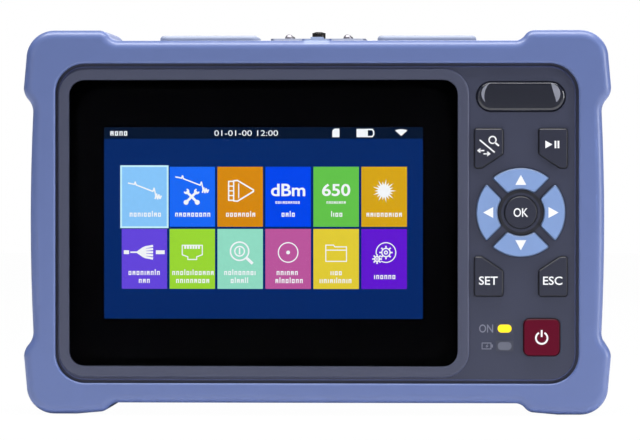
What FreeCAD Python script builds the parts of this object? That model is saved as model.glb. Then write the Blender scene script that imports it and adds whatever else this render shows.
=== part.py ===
import FreeCAD, Part
import math
import os

V = FreeCAD.Vector
os.makedirs("parts", exist_ok=True)

# Handheld optical time domain reflectometer, in millimetres.
# X runs to the right of the user, the display faces -Y, and Z is up. The unit stands on the lower
# corners of its rubber bumper; the origin is at the middle of that footprint.

# Rubber bumper
BUMPER_WIDTH = 199.0       # over the thick corners
BUMPER_HEIGHT = 130.0
BUMPER_DEPTH = 56.0
SIDE_THIN = 2.3            # how far the middle of a side lies inside its corners
SIDE_BOW = 0.9             # how far the side falls back again towards its ends
TOP_THIN = 3.5
BOTTOM_THIN = 3.8
SIDE_LEAN = 0.9            # a corner is widest at its inner end, and leans in by this
FOOT_LENGTH = 18.0         # flat foot under a lower corner, with its round end
FOOT_RISE = 0.7            # from there a lower corner rises by this towards the middle
CORNER_R = 9.5
CORNER_LENGTH = 19.5       # from the top or bottom down to where a corner starts to thin out
CORNER_SPAN = 26.0         # the same, along the top and bottom
SIDE_BLEND = 8.0           # length of the step between corner and waist, on the sides
TOP_BLEND = 6.1            # the same, along the top and bottom
BUMPER_EDGE_R = 3.0
LIP_THICK = 2.4
LIP_EDGE_R = 0.8
FRONT_FRAME_SIDE = 10.9    # width of the rubber frame that shows round the panel
FRONT_FRAME_LOW = 10.5
FRONT_FRAME_HIGH = 11.2
FRONT_OPEN_R = 10.0
REAR_FRAME_SIDE = 9.5
REAR_FRAME_LOW = 9.2
REAR_FRAME_HIGH = 9.8
REAR_OPEN_R = 8.0
BUMPER_FIT = 0.1           # gap between rubber and case

# Case
RUBBER_SIDE = 6.0          # rubber outside the case, at the corners
RUBBER_LOW = 6.0
RUBBER_HIGH = 6.6
CASE_R = 12.0
WALL = 2.5
SHELL_EDGE = 1.0
SPLIT_BACK = 16.0          # from the back of the bumper to where the shells meet
PANEL_GAP = 1.0            # shadow gap between bumper lip and panel
PANEL_RISE = 1.0           # the panel stands proud of the shell's shoulder
PANEL_EDGE = 0.4
REAR_RISE = 0.8
SEAL_THICK = 1.2
SEAL_WIDTH = 1.0
SEAL_FIT = 0.1

# Display
GLASS_IN = 3.8             # glass from the left edge of the panel
GLASS_UP = 4.9             # from its lower edge
GLASS_DOWN = 4.7           # and from its upper edge
GLASS_R = 5.0
GLASS_THICK = 1.1
GLASS_EDGE = 0.3
GLASS_FIT = 0.15
GLASS_SINK = 0.3           # glass below the crest of its surround
SURROUND_WIDTH = 3.9
SURROUND_RISE = 0.8
SURROUND_EDGE_R = 0.7
GLUE_THICK = 0.3
LEDGE = 2.5
WINDOW_R = 9.0
RIM_WIDTH = 2.0
LCD_SIDE = 5.4             # display inside the sides of the glass
LCD_END = 10.45            # and inside its upper and lower edges
LCD_THICK = 3.4
LCD_R = 1.0
LCD_GAP = 0.2
BRACKET_THICK = 1.0
BRACKET_STANDOFF_R = 2.6
STANDOFF_SIDE = 6.3        # standoffs from the sides, foot and head of the bracket
STANDOFF_LOW = 7.1
STANDOFF_HIGH = 15.1
CABLE_WIDTH = 22.0
CABLE_THICK = 0.3
CABLE_DROP = 2.0           # display cable below the display
CABLE_SLOT = 2.4

# Keypad
KEY_PROUD = 1.2
KEY_TRAVEL = 0.8
KEY_FIT = 0.2              # gap round a key in its aperture
KEY_FLANGE = 0.9
KEY_FLANGE_THICK = 0.9
KEY_EDGE = 0.35
FLANGE_GAP = 0.2           # behind the panel
OVER_TRAVEL = 0.3
KEYPAD_IN = 2.85           # corner keys from the right edge of the panel
KEYPAD_GAP = 1.75          # and from the surround of the glass
PAD_R = 15.0
PAD_BORE_R = 7.9
PAD_SPOKE = 2.9
ARROW_OUTER_R = 0.5
ARROW_INNER_R = 1.0
OK_R = 5.5
KEY_OUT = 15.7             # corner keys, from the middle of the ring: sides
KEY_IN = 6.0
KEY_NEAR = 14.9            # and nearer ends
KEY_GAP_LOW = 7.6          # lower corner keys above the power key
KEY_GAP_HIGH = 5.6         # upper corner keys below the badge
KEY_TIP = 2.5              # flat end of a corner key, beside its slanted edge
KEY_SLANT = 4.8
KEY_CORNER_R = 0.9
POWER_OUT = 7.05           # power key, right of the middle of the ring
POWER_UP = 14.7            # and up from the lower edge of the panel
POWER_WIDTH = 12.2
POWER_HEIGHT = 12.5
POWER_R = 2.0
LIGHT_IN = 5.45            # lamps, left of the middle of the ring
LIGHT_PITCH = 5.9
LIGHT_WIDTH = 5.7
LIGHT_HEIGHT = 3.4
LIGHT_R = 0.6
LIGHT_PROUD = 0.2
LIGHT_FIT = 0.1
LIGHT_SHOULDER = 0.8
LIGHT_SHOULDER_THICK = 1.0
MAT_THICK = 1.2
MAT_R = 2.0
DOME_RISE = 0.4
DOME_R = 2.6
BOARD_THICK = 1.6
BOARD_R = 2.0
KEYBOARD_IN = 3.1          # keypad board from the glass
KEYBOARD_SIDE_GAP = 0.8    # and from the side wall
KEYBOARD_UP = 7.1          # and from the lower edge of the panel
KEYBOARD_DOWN = 13.8       # and from its upper edge
MAT_MARGIN = 0.8
MAT_HEAD = 5.4             # mat below the top of its board
KEYBOARD_BOSS_IN = 3.4     # bosses from the edges of the board
KEYBOARD_BOSS_UP = 8.8     # lower bosses, above the middle of the power key
SMALL_BOSS_R = 2.4
BOSS_NOTCH_GAP = 0.5

# Name badge
BADGE_DROP = 10.3          # from the top of the panel
BADGE_WIDTH = 30.5
BADGE_HEIGHT = 10.5
BADGE_SINK = 1.2
BADGE_DOME = 0.5
BADGE_EDGE_R = 1.1
BADGE_FIT = 0.3

# Inner boards and optics
MAIN_BOARD_GAP = 5.8       # from the display bracket to the main board
MAIN_SIDE_GAP = 1.0        # from the boss of a case screw
MAIN_PORT_GAP = 3.3        # right of the last jack
MAIN_UP = 12.0             # above the bottom of the case
MAIN_HEAD_GAP = 1.0        # below the port panel
MODULE_IN = 6.5            # optical module from the left and lower edges of its board
MODULE_UP = 12.0
MODULE_OUT = 14.0          # and right of the optical port
MODULE_THICK = 12.0
MODULE_R = 3.0
MODULE_LID = 1.0
MODULE_LID_IN = 0.6
FIBRE_R = 1.5
BOOT_R = 2.4
BOOT_LENGTH = 5.0
FIBRE_LENGTH = 11.0        # from the boot to the optical adapter

# Screws
CASE_SCREW_IN = 9.0        # corner screws from the sides of the case
FOOT_SCREW_X = 60.0
FOOT_SCREW_UP = 7.2
CASE_BOSS_R = 3.0
CASE_SCREW_R = 1.5
CASE_SCREW_LENGTH = 12.0
CASE_HEAD_R = 2.6
CASE_HEAD_HIGH = 2.0
CASE_SEAT = 4.0            # thickness of boss under a case screw's head
WELL_R = 3.0
WELL_WALL = 1.2
SMALL_SCREW_R = 1.0
SMALL_SCREW_LENGTH = 5.0
SMALL_HEAD_R = 1.9
SMALL_HEAD_HIGH = 1.2
SCREW_FIT = 0.05
SCREW_END_GAP = 0.2

# Port panel in the top wall
PORT_PANEL_X = 58.0
PORT_PANEL_EDGE = 4.0      # in front of the boss of the optical ports
PORT_PANEL_LAP = 3.0       # overlap inside the front shell
PORT_PANEL_INNER = 0.9     # thickness of that overlap
PORT_PANEL_FIT = 0.1
PORT_ROW_X = 37.1          # middle of each covered group
FLAP_WIDTH = 33.6
FLAP_THICK = 1.8
FLAP_GAP = 0.2             # above the rubber
FLAP_FRONT = -16.5
FLAP_R = 2.5
FLAP_EDGE_R = 1.2
FLAP_SWING_GAP = 0.6       # round the plug of a flap
PLUG_WALL = 1.4
PLUG_DEEP = 2.3
PLUG_R = 1.5
STRAP_LONG = 2.0
STRAP_THICK = 1.2
WINDOW_FRONT = -15.4
WINDOW_REAR = 0.9
WINDOW_WIDTH = 31.8
HINGE_Y = 4.2
HINGE_RISE = 0.6           # hinge axis above the bumper's waist
BARREL_R = 1.3
BARREL_HALF = 8.0
BARREL_GAP = 0.3
LUG_LENGTH = 3.0
PIN_R = 0.7
PIN_GRIP_GAP = 0.01        # round a pin in the lugs that hold it
PIN_FIT = 0.05
JACK_SINK = 0.2            # jack faces below the case top
JACK_FIT = 0.15
JACK_ROW_GAP = 0.75
LAN_WIDTH = 15.4
LAN_DEPTH = 13.4
LAN_HEIGHT = 21.0
LAN_PITCH = 15.8
LAN_MOUTH = 11.8
LAN_MOUTH_DEPTH = 8.0
LAN_HOLE = 13.0
LAN_LATCH = 6.2
LAN_LATCH_DEPTH = 2.2
LAN_LATCH_HOLE = 7.8
LAN_WALL = 1.2
USB_WIDTH = 13.2
USB_DEPTH = 5.8
USB_HEIGHT = 14.0
USB_HOLE = 10.0
USB_WALL = 0.4
USB_TONGUE = 1.8
USB_TONGUE_IN = 1.1
MICRO_WIDTH = 7.5
MICRO_DEPTH = 2.9
MICRO_HEIGHT = 6.0
MICRO_HOLE = 4.5
MICRO_WALL = 0.3
MICRO_TONGUE = 0.6
MICRO_TONGUE_IN = 1.8
DC_SIZE = 9.0
DC_HEIGHT = 14.0
DC_BORE_R = 3.1
DC_PIN_R = 1.0
DC_HOLE = 10.0

# Optical ports in the middle of the top
BOSS_X = 16.2
BOSS_FRONT = -14.4
BOSS_REAR = 10.0
BOSS_GAP = 0.5
PLATE_RISE = 1.0           # plate above the bumper's waist
PLATE_THICK = 1.5
PLATE_R = 2.0
OTDR_Y = -6.5
SIDE_PORT_X = 10.0
SIDE_PORT_Y = 3.6
PLATE_SCREW_Y = -9.5
PLATE_SCREW_R = 0.8
PLATE_SCREW_HEAD_R = 1.5
PLATE_SCREW_DOME = 1.6
PLATE_SCREW_LENGTH = 5.2
THREAD_R = 4.0
THREAD_BORE_R = 3.0
KEYWAY_WIDTH = 2.0
KEYWAY_DEEP = 2.2
KEYWAY_BITE = 0.5
SLEEVE_R = 1.75
SLEEVE_SINK = 1.5          # sleeve below the end of its adapter
FERRULE_BORE_R = 1.25
FERRULE_BORE_DEEP = 12.0
ADAPTER_SINK = 1.6         # adapter below the face of the plate
ADAPTER_LENGTH = 17.9
PORT_FLANGE = 6.4          # half size of the square flange of the optical adapter
PORT_FLANGE_FRONT = 5.8    # the same, towards the front
PORT_FLANGE_R = 1.5
FLANGE_THICK = 1.4
SIDE_BARREL_R = 3.2
SIDE_FLANGE_R = 4.6
SIDE_LENGTH = 13.9
SIDE_CAN = 3.0
CAP_WALL = 0.9
CAP_FIT = 0.08
CAP_ROOF = 1.1
CAP_ROOF_GAP = 0.3
CAP_HEIGHT = 4.9
CAP_EDGE_R = 0.4
WELL_GAP = 0.5
WELL_FLOOR_GAP = 0.6       # below the rim of a cap
KNOB_R = 2.15
KNOB_HIGH = 2.7
NUB_R = 1.4
NUB_HIGH = 1.5
HUMP_BASE_X = 4.9
HUMP_X = 2.15
HUMP_BASE_RISE = 0.6       # humps above the bumper's waist
HUMP_RISE = 1.3
HUMP_FRONT = -24.5
HUMP_LENGTH = 8.0
HUMP_STEP = 1.0

# Kickstand and battery
STAND_X = 48.0
STAND_UP = 13.5            # above the bottom of the case
STAND_LENGTH = 57.5        # from its foot to its hinge
STAND_THICK = 3.8
STAND_SKIN = 1.8
STAND_RIB = 2.4
STAND_POCKET_R = 2.5
STAND_R = 5.0
STAND_GAP = 0.5
STAND_SINK = 0.2
STAND_PIN_R = 1.6
STAND_PIN_LENGTH = 2.0
STAND_NOTCH_R = 8.0
STAND_NOTCH_DEEP = 3.0
FOOT_PAD_UP = 1.5
FOOT_PAD_WIDTH = 26.0
FOOT_PAD_HEIGHT = 5.0
FOOT_PAD_THICK = 0.8
FOOT_PAD_R = 1.5
FINGER_WIDTH = 20.0
FINGER_REACH = 6.9         # finger well below the foot of the stand
FINGER_DEEP = 5.4
FINGER_R = 3.0
DOOR_X = 41.0
DOOR_UP = 1.5              # above the foot of the stand
DOOR_HEIGHT = 51.5
DOOR_THICK = 1.8
DOOR_R = 3.0
DOOR_FIT = 0.15
DOOR_SCREW_IN = 7.0
DOOR_SCREW_DROP = 3.3
DOOR_HEAD_GAP = 0.2
BATTERY_X = 38.0
BATTERY_UP = 2.2           # above the foot of the door
BATTERY_HEIGHT = 40.8
BATTERY_THICK = 12.5
BATTERY_R = 3.0
BATTERY_EDGE = 1.0
BATTERY_GAP = 0.2
BAY_WALL = 1.6
CONTACTS = 4
CONTACT_BLOCK = 14.0
CONTACT_DEPTH = 6.0
CONTACT_TAB = 1.2
CONTACT_TAB_DEPTH = 4.0
CONTACT_TAB_HIGH = 0.5
CONTACT_HEIGHT = 0.8

# Speaker
SPEAKER_X = -44.0
SPEAKER_DROP = 22.4        # below the top of the case
SPEAKER_R = 9.0
SPEAKER_THICK = 4.0
SPEAKER_RIM = 1.2
SPEAKER_DISH = 0.8
SPEAKER_FIT = 0.1
GRILLE_SLOTS = 6
SLOT_LONG = 14.0
SLOT_WIDE = 1.3
SLOT_PITCH = 2.8
SPEAKER_COLLAR = 1.4

# Levels along X
CORNER_X = BUMPER_WIDTH / 2
WAIST_X = CORNER_X - SIDE_THIN
CASE_X = CORNER_X - RUBBER_SIDE
FRONT_OPEN_X = CORNER_X - FRONT_FRAME_SIDE
REAR_OPEN_X = CORNER_X - REAR_FRAME_SIDE
PANEL_X = FRONT_OPEN_X - PANEL_GAP
PAD_X = PANEL_X - KEYPAD_IN - KEY_OUT
GLASS_LEFT = GLASS_IN - PANEL_X
GLASS_RIGHT = PAD_X - KEY_OUT - KEYPAD_GAP - SURROUND_WIDTH
LCD_X = (GLASS_LEFT + GLASS_RIGHT) / 2
LCD_HALF_X = (GLASS_RIGHT - GLASS_LEFT) / 2 - LCD_SIDE
POWER_X = PAD_X + POWER_OUT
LIGHT_X = PAD_X - LIGHT_IN
KEYBOARD_LEFT = GLASS_RIGHT + KEYBOARD_IN
KEYBOARD_RIGHT = CASE_X - WALL - KEYBOARD_SIDE_GAP
CASE_SCREW_X = CASE_X - CASE_SCREW_IN
MAIN_LEFT = MAIN_SIDE_GAP + CASE_BOSS_R - CASE_SCREW_X
MAIN_RIGHT = PORT_ROW_X + (LAN_PITCH + LAN_WIDTH) / 2 + MAIN_PORT_GAP
MODULE_LEFT = MAIN_LEFT + MODULE_IN
DOOR_SCREW_X = DOOR_X - DOOR_SCREW_IN

# Levels along Y, from the front back
FRONT_Y = -BUMPER_DEPTH / 2
REAR_Y = BUMPER_DEPTH / 2
SPLIT_Y = REAR_Y - SPLIT_BACK
SHOULDER_Y = FRONT_Y + LIP_THICK
PANEL_Y = SHOULDER_Y - PANEL_RISE
SURROUND_Y = PANEL_Y - SURROUND_RISE
GLASS_Y = SURROUND_Y + GLASS_SINK
GLASS_BACK = GLASS_Y + GLASS_THICK
LEDGE_Y = GLASS_BACK + GLUE_THICK
PANEL_BACK = PANEL_Y + WALL
LCD_Y = GLASS_BACK + LCD_GAP
BRACKET_Y = LCD_Y + LCD_THICK
BRACKET_BACK = BRACKET_Y + BRACKET_THICK
KEY_Y = PANEL_Y - KEY_PROUD
FLANGE_Y = PANEL_BACK + FLANGE_GAP
KEY_BACK = FLANGE_Y + KEY_FLANGE_THICK
DOME_Y = KEY_BACK + KEY_TRAVEL + OVER_TRAVEL
MAT_Y = DOME_Y + DOME_RISE
KEYBOARD_Y = MAT_Y + MAT_THICK
KEYBOARD_BACK = KEYBOARD_Y + BOARD_THICK
MAIN_Y = BRACKET_BACK + MAIN_BOARD_GAP
MAIN_BACK = MAIN_Y + BOARD_THICK
MODULE_BACK = MAIN_BACK + MODULE_THICK
REAR_SHOULDER_Y = REAR_Y - LIP_THICK
BACK_Y = REAR_SHOULDER_Y + REAR_RISE
BACK_INNER = BACK_Y - WALL
STAND_FACE = BACK_Y - STAND_SINK
STAND_INNER = STAND_FACE - STAND_THICK
RECESS_Y = STAND_INNER - STAND_GAP
STAND_AXIS_Y = STAND_FACE - STAND_THICK / 2
DOOR_INNER = RECESS_Y - DOOR_THICK
BATTERY_BACK = DOOR_INNER - BATTERY_GAP
BATTERY_FRONT = BATTERY_BACK - BATTERY_THICK
PORT_PANEL_FRONT = BOSS_FRONT - PORT_PANEL_EDGE

# Levels along Z
WAIST_TOP = BUMPER_HEIGHT - TOP_THIN
CASE_LOW = RUBBER_LOW
CASE_HIGH = BUMPER_HEIGHT - RUBBER_HIGH
INNER_TOP = CASE_HIGH - WALL
FRONT_OPEN_LOW = FRONT_FRAME_LOW
FRONT_OPEN_HIGH = BUMPER_HEIGHT - FRONT_FRAME_HIGH
REAR_OPEN_LOW = REAR_FRAME_LOW
REAR_OPEN_HIGH = BUMPER_HEIGHT - REAR_FRAME_HIGH
PANEL_LOW = FRONT_OPEN_LOW + PANEL_GAP
PANEL_HIGH = FRONT_OPEN_HIGH - PANEL_GAP
GLASS_LOW = PANEL_LOW + GLASS_UP
GLASS_HIGH = PANEL_HIGH - GLASS_DOWN
LCD_LOW = GLASS_LOW + LCD_END
LCD_HIGH = GLASS_HIGH - LCD_END
POWER_Z = PANEL_LOW + POWER_UP
LIGHT_ON_Z = POWER_Z + LIGHT_PITCH / 2
LIGHT_CHARGE_Z = POWER_Z - LIGHT_PITCH / 2
KEYBOARD_LOW = PANEL_LOW + KEYBOARD_UP
KEYBOARD_HIGH = PANEL_HIGH - KEYBOARD_DOWN
MAT_HIGH = KEYBOARD_HIGH - MAT_HEAD
BADGE_Z = PANEL_HIGH - BADGE_DROP
KEYS_LOW = POWER_Z + POWER_HEIGHT / 2 + KEY_GAP_LOW
KEYS_HIGH = BADGE_Z - BADGE_HEIGHT / 2 - KEY_GAP_HIGH
PAD_Z = (KEYS_LOW + KEYS_HIGH) / 2
KEY_FAR = (KEYS_HIGH - KEYS_LOW) / 2
PORT_SEAT = INNER_TOP - PORT_PANEL_INNER
JACK_TOP = CASE_HIGH - JACK_SINK
MAIN_LOW = CASE_LOW + MAIN_UP
MAIN_HIGH = PORT_SEAT - MAIN_HEAD_GAP
MODULE_LOW = MAIN_LOW + MODULE_UP
HINGE_Z = WAIST_TOP + HINGE_RISE
FLAP_LOW = WAIST_TOP + FLAP_GAP
PLATE_TOP = WAIST_TOP + PLATE_RISE
PLATE_LOW = PLATE_TOP - PLATE_THICK
ADAPTER_TOP = PLATE_TOP - ADAPTER_SINK
ADAPTER_LOW = ADAPTER_TOP - ADAPTER_LENGTH
MODULE_HIGH = ADAPTER_LOW - FIBRE_LENGTH - BOOT_LENGTH
SIDE_LOW = ADAPTER_TOP - SIDE_LENGTH
CAP_TOP = ADAPTER_TOP + CAP_ROOF_GAP + CAP_ROOF
CAP_LOW = CAP_TOP - CAP_HEIGHT
WELL_FLOOR = CAP_LOW - WELL_FLOOR_GAP
STAND_LOW = CASE_LOW + STAND_UP
STAND_HINGE_Z = STAND_LOW + STAND_LENGTH
FINGER_LOW = STAND_LOW - FINGER_REACH
DOOR_LOW = STAND_LOW + DOOR_UP
DOOR_HIGH = DOOR_LOW + DOOR_HEIGHT
DOOR_SCREW_Z = DOOR_HIGH - DOOR_SCREW_DROP
BATTERY_LOW = DOOR_LOW + BATTERY_UP
BATTERY_HIGH = BATTERY_LOW + BATTERY_HEIGHT
SPEAKER_Z = CASE_HIGH - SPEAKER_DROP

CUT = 1.0                  # how far a cutting shape runs past the piece that it cuts
BITE = 0.5                 # how far a fused shape reaches into its neighbour


# ---- Shapes shared by several pieces ----

def block(x0, x1, y0, y1, z0, z1):
    return Part.makeBox(x1 - x0, y1 - y0, z1 - z0, V(x0, y0, z0))


def rod_y(x, z, r, y0, y1):
    return Part.makeCylinder(r, y1 - y0, V(x, y0, z), V(0, 1, 0))


def rod_z(x, y, r, z0, z1):
    return Part.makeCylinder(r, z1 - z0, V(x, y, z0), V(0, 0, 1))


def rod_x(y, z, r, x0, x1):
    return Part.makeCylinder(r, x1 - x0, V(x0, y, z), V(1, 0, 0))


def edges_along(shape, axis):
    """The straight edges that run along one axis."""
    picked = []
    for edge in shape.Edges:
        if edge.Curve.TypeId != "Part::GeomLine":
            continue
        run = edge.Vertexes[-1].Point.sub(edge.Vertexes[0].Point).normalize()
        if abs(run.dot(axis)) > 0.999:
            picked.append(edge)
    return picked


def edges_at_y(shape, y):
    """The edges that lie in the plane of one Y level."""
    return [e for e in shape.Edges
            if abs(e.BoundBox.YMin - y) < 1e-4 and abs(e.BoundBox.YMax - y) < 1e-4]


def slab(x0, x1, z0, z1, r, y0, y1):
    """A plate facing Y, with rounded corners."""
    plate = block(x0, x1, y0, y1, z0, z1)
    r = min(r, (x1 - x0) / 2 - 0.01, (z1 - z0) / 2 - 0.01)
    return plate.makeFillet(r, edges_along(plate, V(0, 1, 0)))


def pad(x0, x1, y0, y1, r, z0, z1):
    """A plate facing Z, with rounded corners."""
    plate = block(x0, x1, y0, y1, z0, z1)
    return plate.makeFillet(r, edges_along(plate, V(0, 0, 1)))


def screw_y(x, z, shank_r, length, head_r, head_high, seat_y, towards):
    """Screw along Y. Its head lies on seat_y, and its shank runs towards -1 or +1."""
    seat = V(x, seat_y, z)
    shank = Part.makeCylinder(shank_r, length, seat, V(0, towards, 0))
    head = Part.makeCylinder(head_r, head_high, seat, V(0, -towards, 0))
    return head.fuse(shank)


def write(name, shape):
    shape.exportStep("parts/%s.step" % name)


# ---- Bumper ----

def bumper_outline(y):
    """Front outline: thick round corners joined by thinner, slightly bowed sides."""
    mid_z = (WAIST_TOP + BOTTOM_THIN) / 2
    end_x = WAIST_X - SIDE_BOW

    def line(a, b):
        return Part.LineSegment(V(a[0], y, a[1]), V(b[0], y, b[1])).toShape()

    def arc(a, m, b):
        return Part.Arc(V(a[0], y, a[1]), V(m[0], y, m[1]), V(b[0], y, b[1])).toShape()

    def step(a, b, run):
        """Two equal arcs that leave a and reach b in the direction of run."""
        chord = (b[0] - a[0], b[1] - a[1])
        length = chord[0] * run[0] + chord[1] * run[1]
        rise = (chord[0] - length * run[0], chord[1] - length * run[1])
        ratio = math.hypot(*rise) / length
        turn = math.hypot(1, ratio)
        sag = 0.25 * (turn - 1) / ratio * length
        unit = (rise[0] / math.hypot(*rise), rise[1] / math.hypot(*rise))
        half = (a[0] + chord[0] / 2, a[1] + chord[1] / 2)
        normal = (unit[0] / turn - run[0] * ratio / turn, unit[1] / turn - run[1] * ratio / turn)
        first = (a[0] + chord[0] / 4 - normal[0] * sag, a[1] + chord[1] / 4 - normal[1] * sag)
        last = (a[0] + chord[0] * 0.75 + normal[0] * sag, a[1] + chord[1] * 0.75 + normal[1] * sag)
        return [arc(a, first, half), arc(half, last, b)]

    edges = []
    # The quarters run clockwise from the middle of the top: upper right, lower right, lower left, upper left.
    for sx, up in ((1, 1), (1, -1), (-1, -1), (-1, 1)):
        waist = WAIST_TOP if up > 0 else BOTTOM_THIN
        edge_z = BUMPER_HEIGHT if up > 0 else 0.0
        end_z = edge_z if up > 0 else FOOT_RISE
        side_z = edge_z - up * (CORNER_LENGTH + SIDE_BLEND)
        half = side_z - mid_z
        lean_x = CORNER_X - SIDE_LEAN
        bend = CORNER_R * (1 - math.sqrt(0.5))
        top_in = (sx * (CORNER_X - CORNER_SPAN - TOP_BLEND), waist)
        top_out = (sx * (CORNER_X - CORNER_SPAN), end_z)
        turn_top = (sx * (lean_x - CORNER_R), edge_z)
        turn_side = (sx * lean_x, edge_z - up * CORNER_R)
        turn_mid = (sx * (lean_x - bend), edge_z - up * bend)
        side_out = (sx * CORNER_X, edge_z - up * CORNER_LENGTH)
        side_in = (sx * end_x, side_z)
        side_mid = (sx * WAIST_X, mid_z)
        quarter_z = mid_z + half / 2
        side_quarter = (sx * (WAIST_X - SIDE_BOW / 4), quarter_z)
        flat_end = (sx * (CORNER_X - FOOT_LENGTH), edge_z)
        edges += [line((0, waist), top_in), line(top_out, flat_end), line(flat_end, turn_top),
                  arc(turn_top, turn_mid, turn_side), line(turn_side, side_out),
                  arc(side_in, side_quarter, side_mid)]
        edges += step(top_in, top_out, (sx, 0)) + step(side_out, side_in, (0, -up))
    return Part.Wire(Part.__sortEdges__(edges))


def make_bumper():
    body = Part.Face(bumper_outline(FRONT_Y)).extrude(V(0, BUMPER_DEPTH, 0))
    rims = edges_at_y(body, FRONT_Y) + edges_at_y(body, REAR_Y)
    body = body.makeFillet(BUMPER_EDGE_R, rims)
    cavity = slab(-CASE_X - BUMPER_FIT, CASE_X + BUMPER_FIT, CASE_LOW - BUMPER_FIT, CASE_HIGH + BUMPER_FIT,
                  CASE_R, SHOULDER_Y - BUMPER_FIT, REAR_SHOULDER_Y + BUMPER_FIT)
    front = slab(-FRONT_OPEN_X, FRONT_OPEN_X, FRONT_OPEN_LOW, FRONT_OPEN_HIGH, FRONT_OPEN_R,
                 FRONT_Y - CUT, SHOULDER_Y)
    rear = slab(-REAR_OPEN_X, REAR_OPEN_X, REAR_OPEN_LOW, REAR_OPEN_HIGH, REAR_OPEN_R,
                REAR_SHOULDER_Y, REAR_Y + CUT)
    body = body.cut(front).cut(rear)
    inner_rims = [e for e in edges_at_y(body, FRONT_Y) + edges_at_y(body, REAR_Y)
                  if abs(e.CenterOfMass.x) < REAR_OPEN_X + CUT
                  and REAR_OPEN_LOW - CUT < e.CenterOfMass.z < REAR_OPEN_HIGH + CUT]
    body = body.makeFillet(LIP_EDGE_R, inner_rims)
    body = body.cut(cavity)

    hump_rear = HUMP_FRONT + HUMP_LENGTH
    hump = block(-HUMP_BASE_X, HUMP_BASE_X, HUMP_FRONT, hump_rear, WAIST_TOP - BITE, WAIST_TOP + HUMP_BASE_RISE)
    hump = hump.fuse(block(-HUMP_X, HUMP_X, HUMP_FRONT + HUMP_STEP, hump_rear, WAIST_TOP - BITE,
                           WAIST_TOP + HUMP_RISE))
    body = body.fuse(hump)
    for side in (-1, 1):
        middle = side * PORT_ROW_X
        for lug in (-1, 1):
            inner = middle + lug * (BARREL_HALF + BARREL_GAP)
            outer = inner + lug * LUG_LENGTH
            x0, x1 = min(inner, outer), max(inner, outer)
            ear = rod_x(HINGE_Y, HINGE_Z, BARREL_R, x0, x1)
            foot = block(x0, x1, HINGE_Y - BARREL_R, HINGE_Y + BARREL_R, WAIST_TOP - BITE, HINGE_Z)
            body = body.fuse(ear.fuse(foot))
        groove_half = BARREL_HALF + BARREL_GAP
        body = body.cut(rod_x(HINGE_Y, HINGE_Z, BARREL_R + BARREL_GAP, middle - groove_half, middle + groove_half))
        pin_half = groove_half + LUG_LENGTH
        body = body.cut(rod_x(HINGE_Y, HINGE_Z, PIN_R + PIN_GRIP_GAP, middle - pin_half, middle + pin_half))
        body = body.cut(pad(middle - WINDOW_WIDTH / 2, middle + WINDOW_WIDTH / 2, WINDOW_FRONT, WINDOW_REAR,
                            PLUG_R + FLAP_SWING_GAP, CASE_HIGH - CUT, BUMPER_HEIGHT))
    body = body.cut(pad(-BOSS_X - BOSS_GAP, BOSS_X + BOSS_GAP, BOSS_FRONT - BOSS_GAP, BOSS_REAR + BOSS_GAP,
                        PLATE_R + BOSS_GAP, CASE_HIGH - CUT, BUMPER_HEIGHT))
    return body.removeSplitter()


# ---- Keys ----

def corner_key_prism(name, grow, y0, y1):
    """A block whose inner corner is slanted off to clear the ring of arrow keys."""
    sx, sz = CORNER_KEYS[name]
    points = [V(PAD_X + sx * x, y0, PAD_Z + sz * z) for x, z in (
        (KEY_OUT, KEY_FAR), (KEY_IN, KEY_FAR), (KEY_IN, KEY_NEAR + KEY_SLANT), (KEY_OUT - KEY_TIP, KEY_NEAR),
        (KEY_OUT, KEY_NEAR))]
    outline = Part.makePolygon(points + points[:1])
    if grow:
        outline = outline.makeOffset2D(grow, 2)
    prism = Part.Face(outline).extrude(V(0, y1 - y0, 0))
    return prism.makeFillet(KEY_CORNER_R + grow, edges_along(prism, V(0, 1, 0)))


def arrow_key_prism(direction, grow, y0, y1):
    """A quarter of a ring, between the diagonal spokes of the panel."""
    ring = rod_y(PAD_X, PAD_Z, PAD_R + grow, y0, y1)
    ring = ring.cut(rod_y(PAD_X, PAD_Z, PAD_BORE_R - grow, y0 - CUT, y1 + CUT))
    reach = 2 * PAD_R
    half = PAD_SPOKE / 2 - grow
    for angle in (45, 135):
        spoke = block(-reach, reach, y0 - CUT, y1 + CUT, -half, half)
        spoke.rotate(V(0, 0, 0), V(0, 1, 0), angle)
        spoke.translate(V(PAD_X, 0, PAD_Z))
        ring = ring.cut(spoke)
    towards = V(direction[0], 0, direction[1])
    sector = max(ring.Solids, key=lambda s: s.CenterOfMass.sub(V(PAD_X, 0, PAD_Z)).dot(towards))
    middle_r = (PAD_R + PAD_BORE_R) / 2

    def corners(outer):
        return [e for e in edges_along(sector, V(0, 1, 0))
                if (math.hypot(e.CenterOfMass.x - PAD_X, e.CenterOfMass.z - PAD_Z) > middle_r) == outer]

    sector = sector.makeFillet(ARROW_OUTER_R + grow, corners(True))
    return sector.makeFillet(ARROW_INNER_R, corners(False))


def round_key_prism(grow, y0, y1):
    return rod_y(PAD_X, PAD_Z, OK_R + grow, y0, y1)


def power_key_prism(grow, y0, y1):
    half_x = POWER_WIDTH / 2 + grow
    half_z = POWER_HEIGHT / 2 + grow
    return slab(POWER_X - half_x, POWER_X + half_x, POWER_Z - half_z, POWER_Z + half_z,
                POWER_R + grow, y0, y1)


ARROWS = {"up": (0, 1), "down": (0, -1), "left": (-1, 0), "right": (1, 0)}
CORNER_KEYS = {"zoom": (-1, 1), "run": (1, 1), "set": (-1, -1), "esc": (1, -1)}
KEYS = tuple(CORNER_KEYS) + tuple(ARROWS) + ("ok", "power")


def key_prism(name, grow, y0, y1):
    if name in ARROWS:
        return arrow_key_prism(ARROWS[name], grow, y0, y1)
    if name in CORNER_KEYS:
        return corner_key_prism(name, grow, y0, y1)
    if name == "ok":
        return round_key_prism(grow, y0, y1)
    return power_key_prism(grow, y0, y1)


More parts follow.
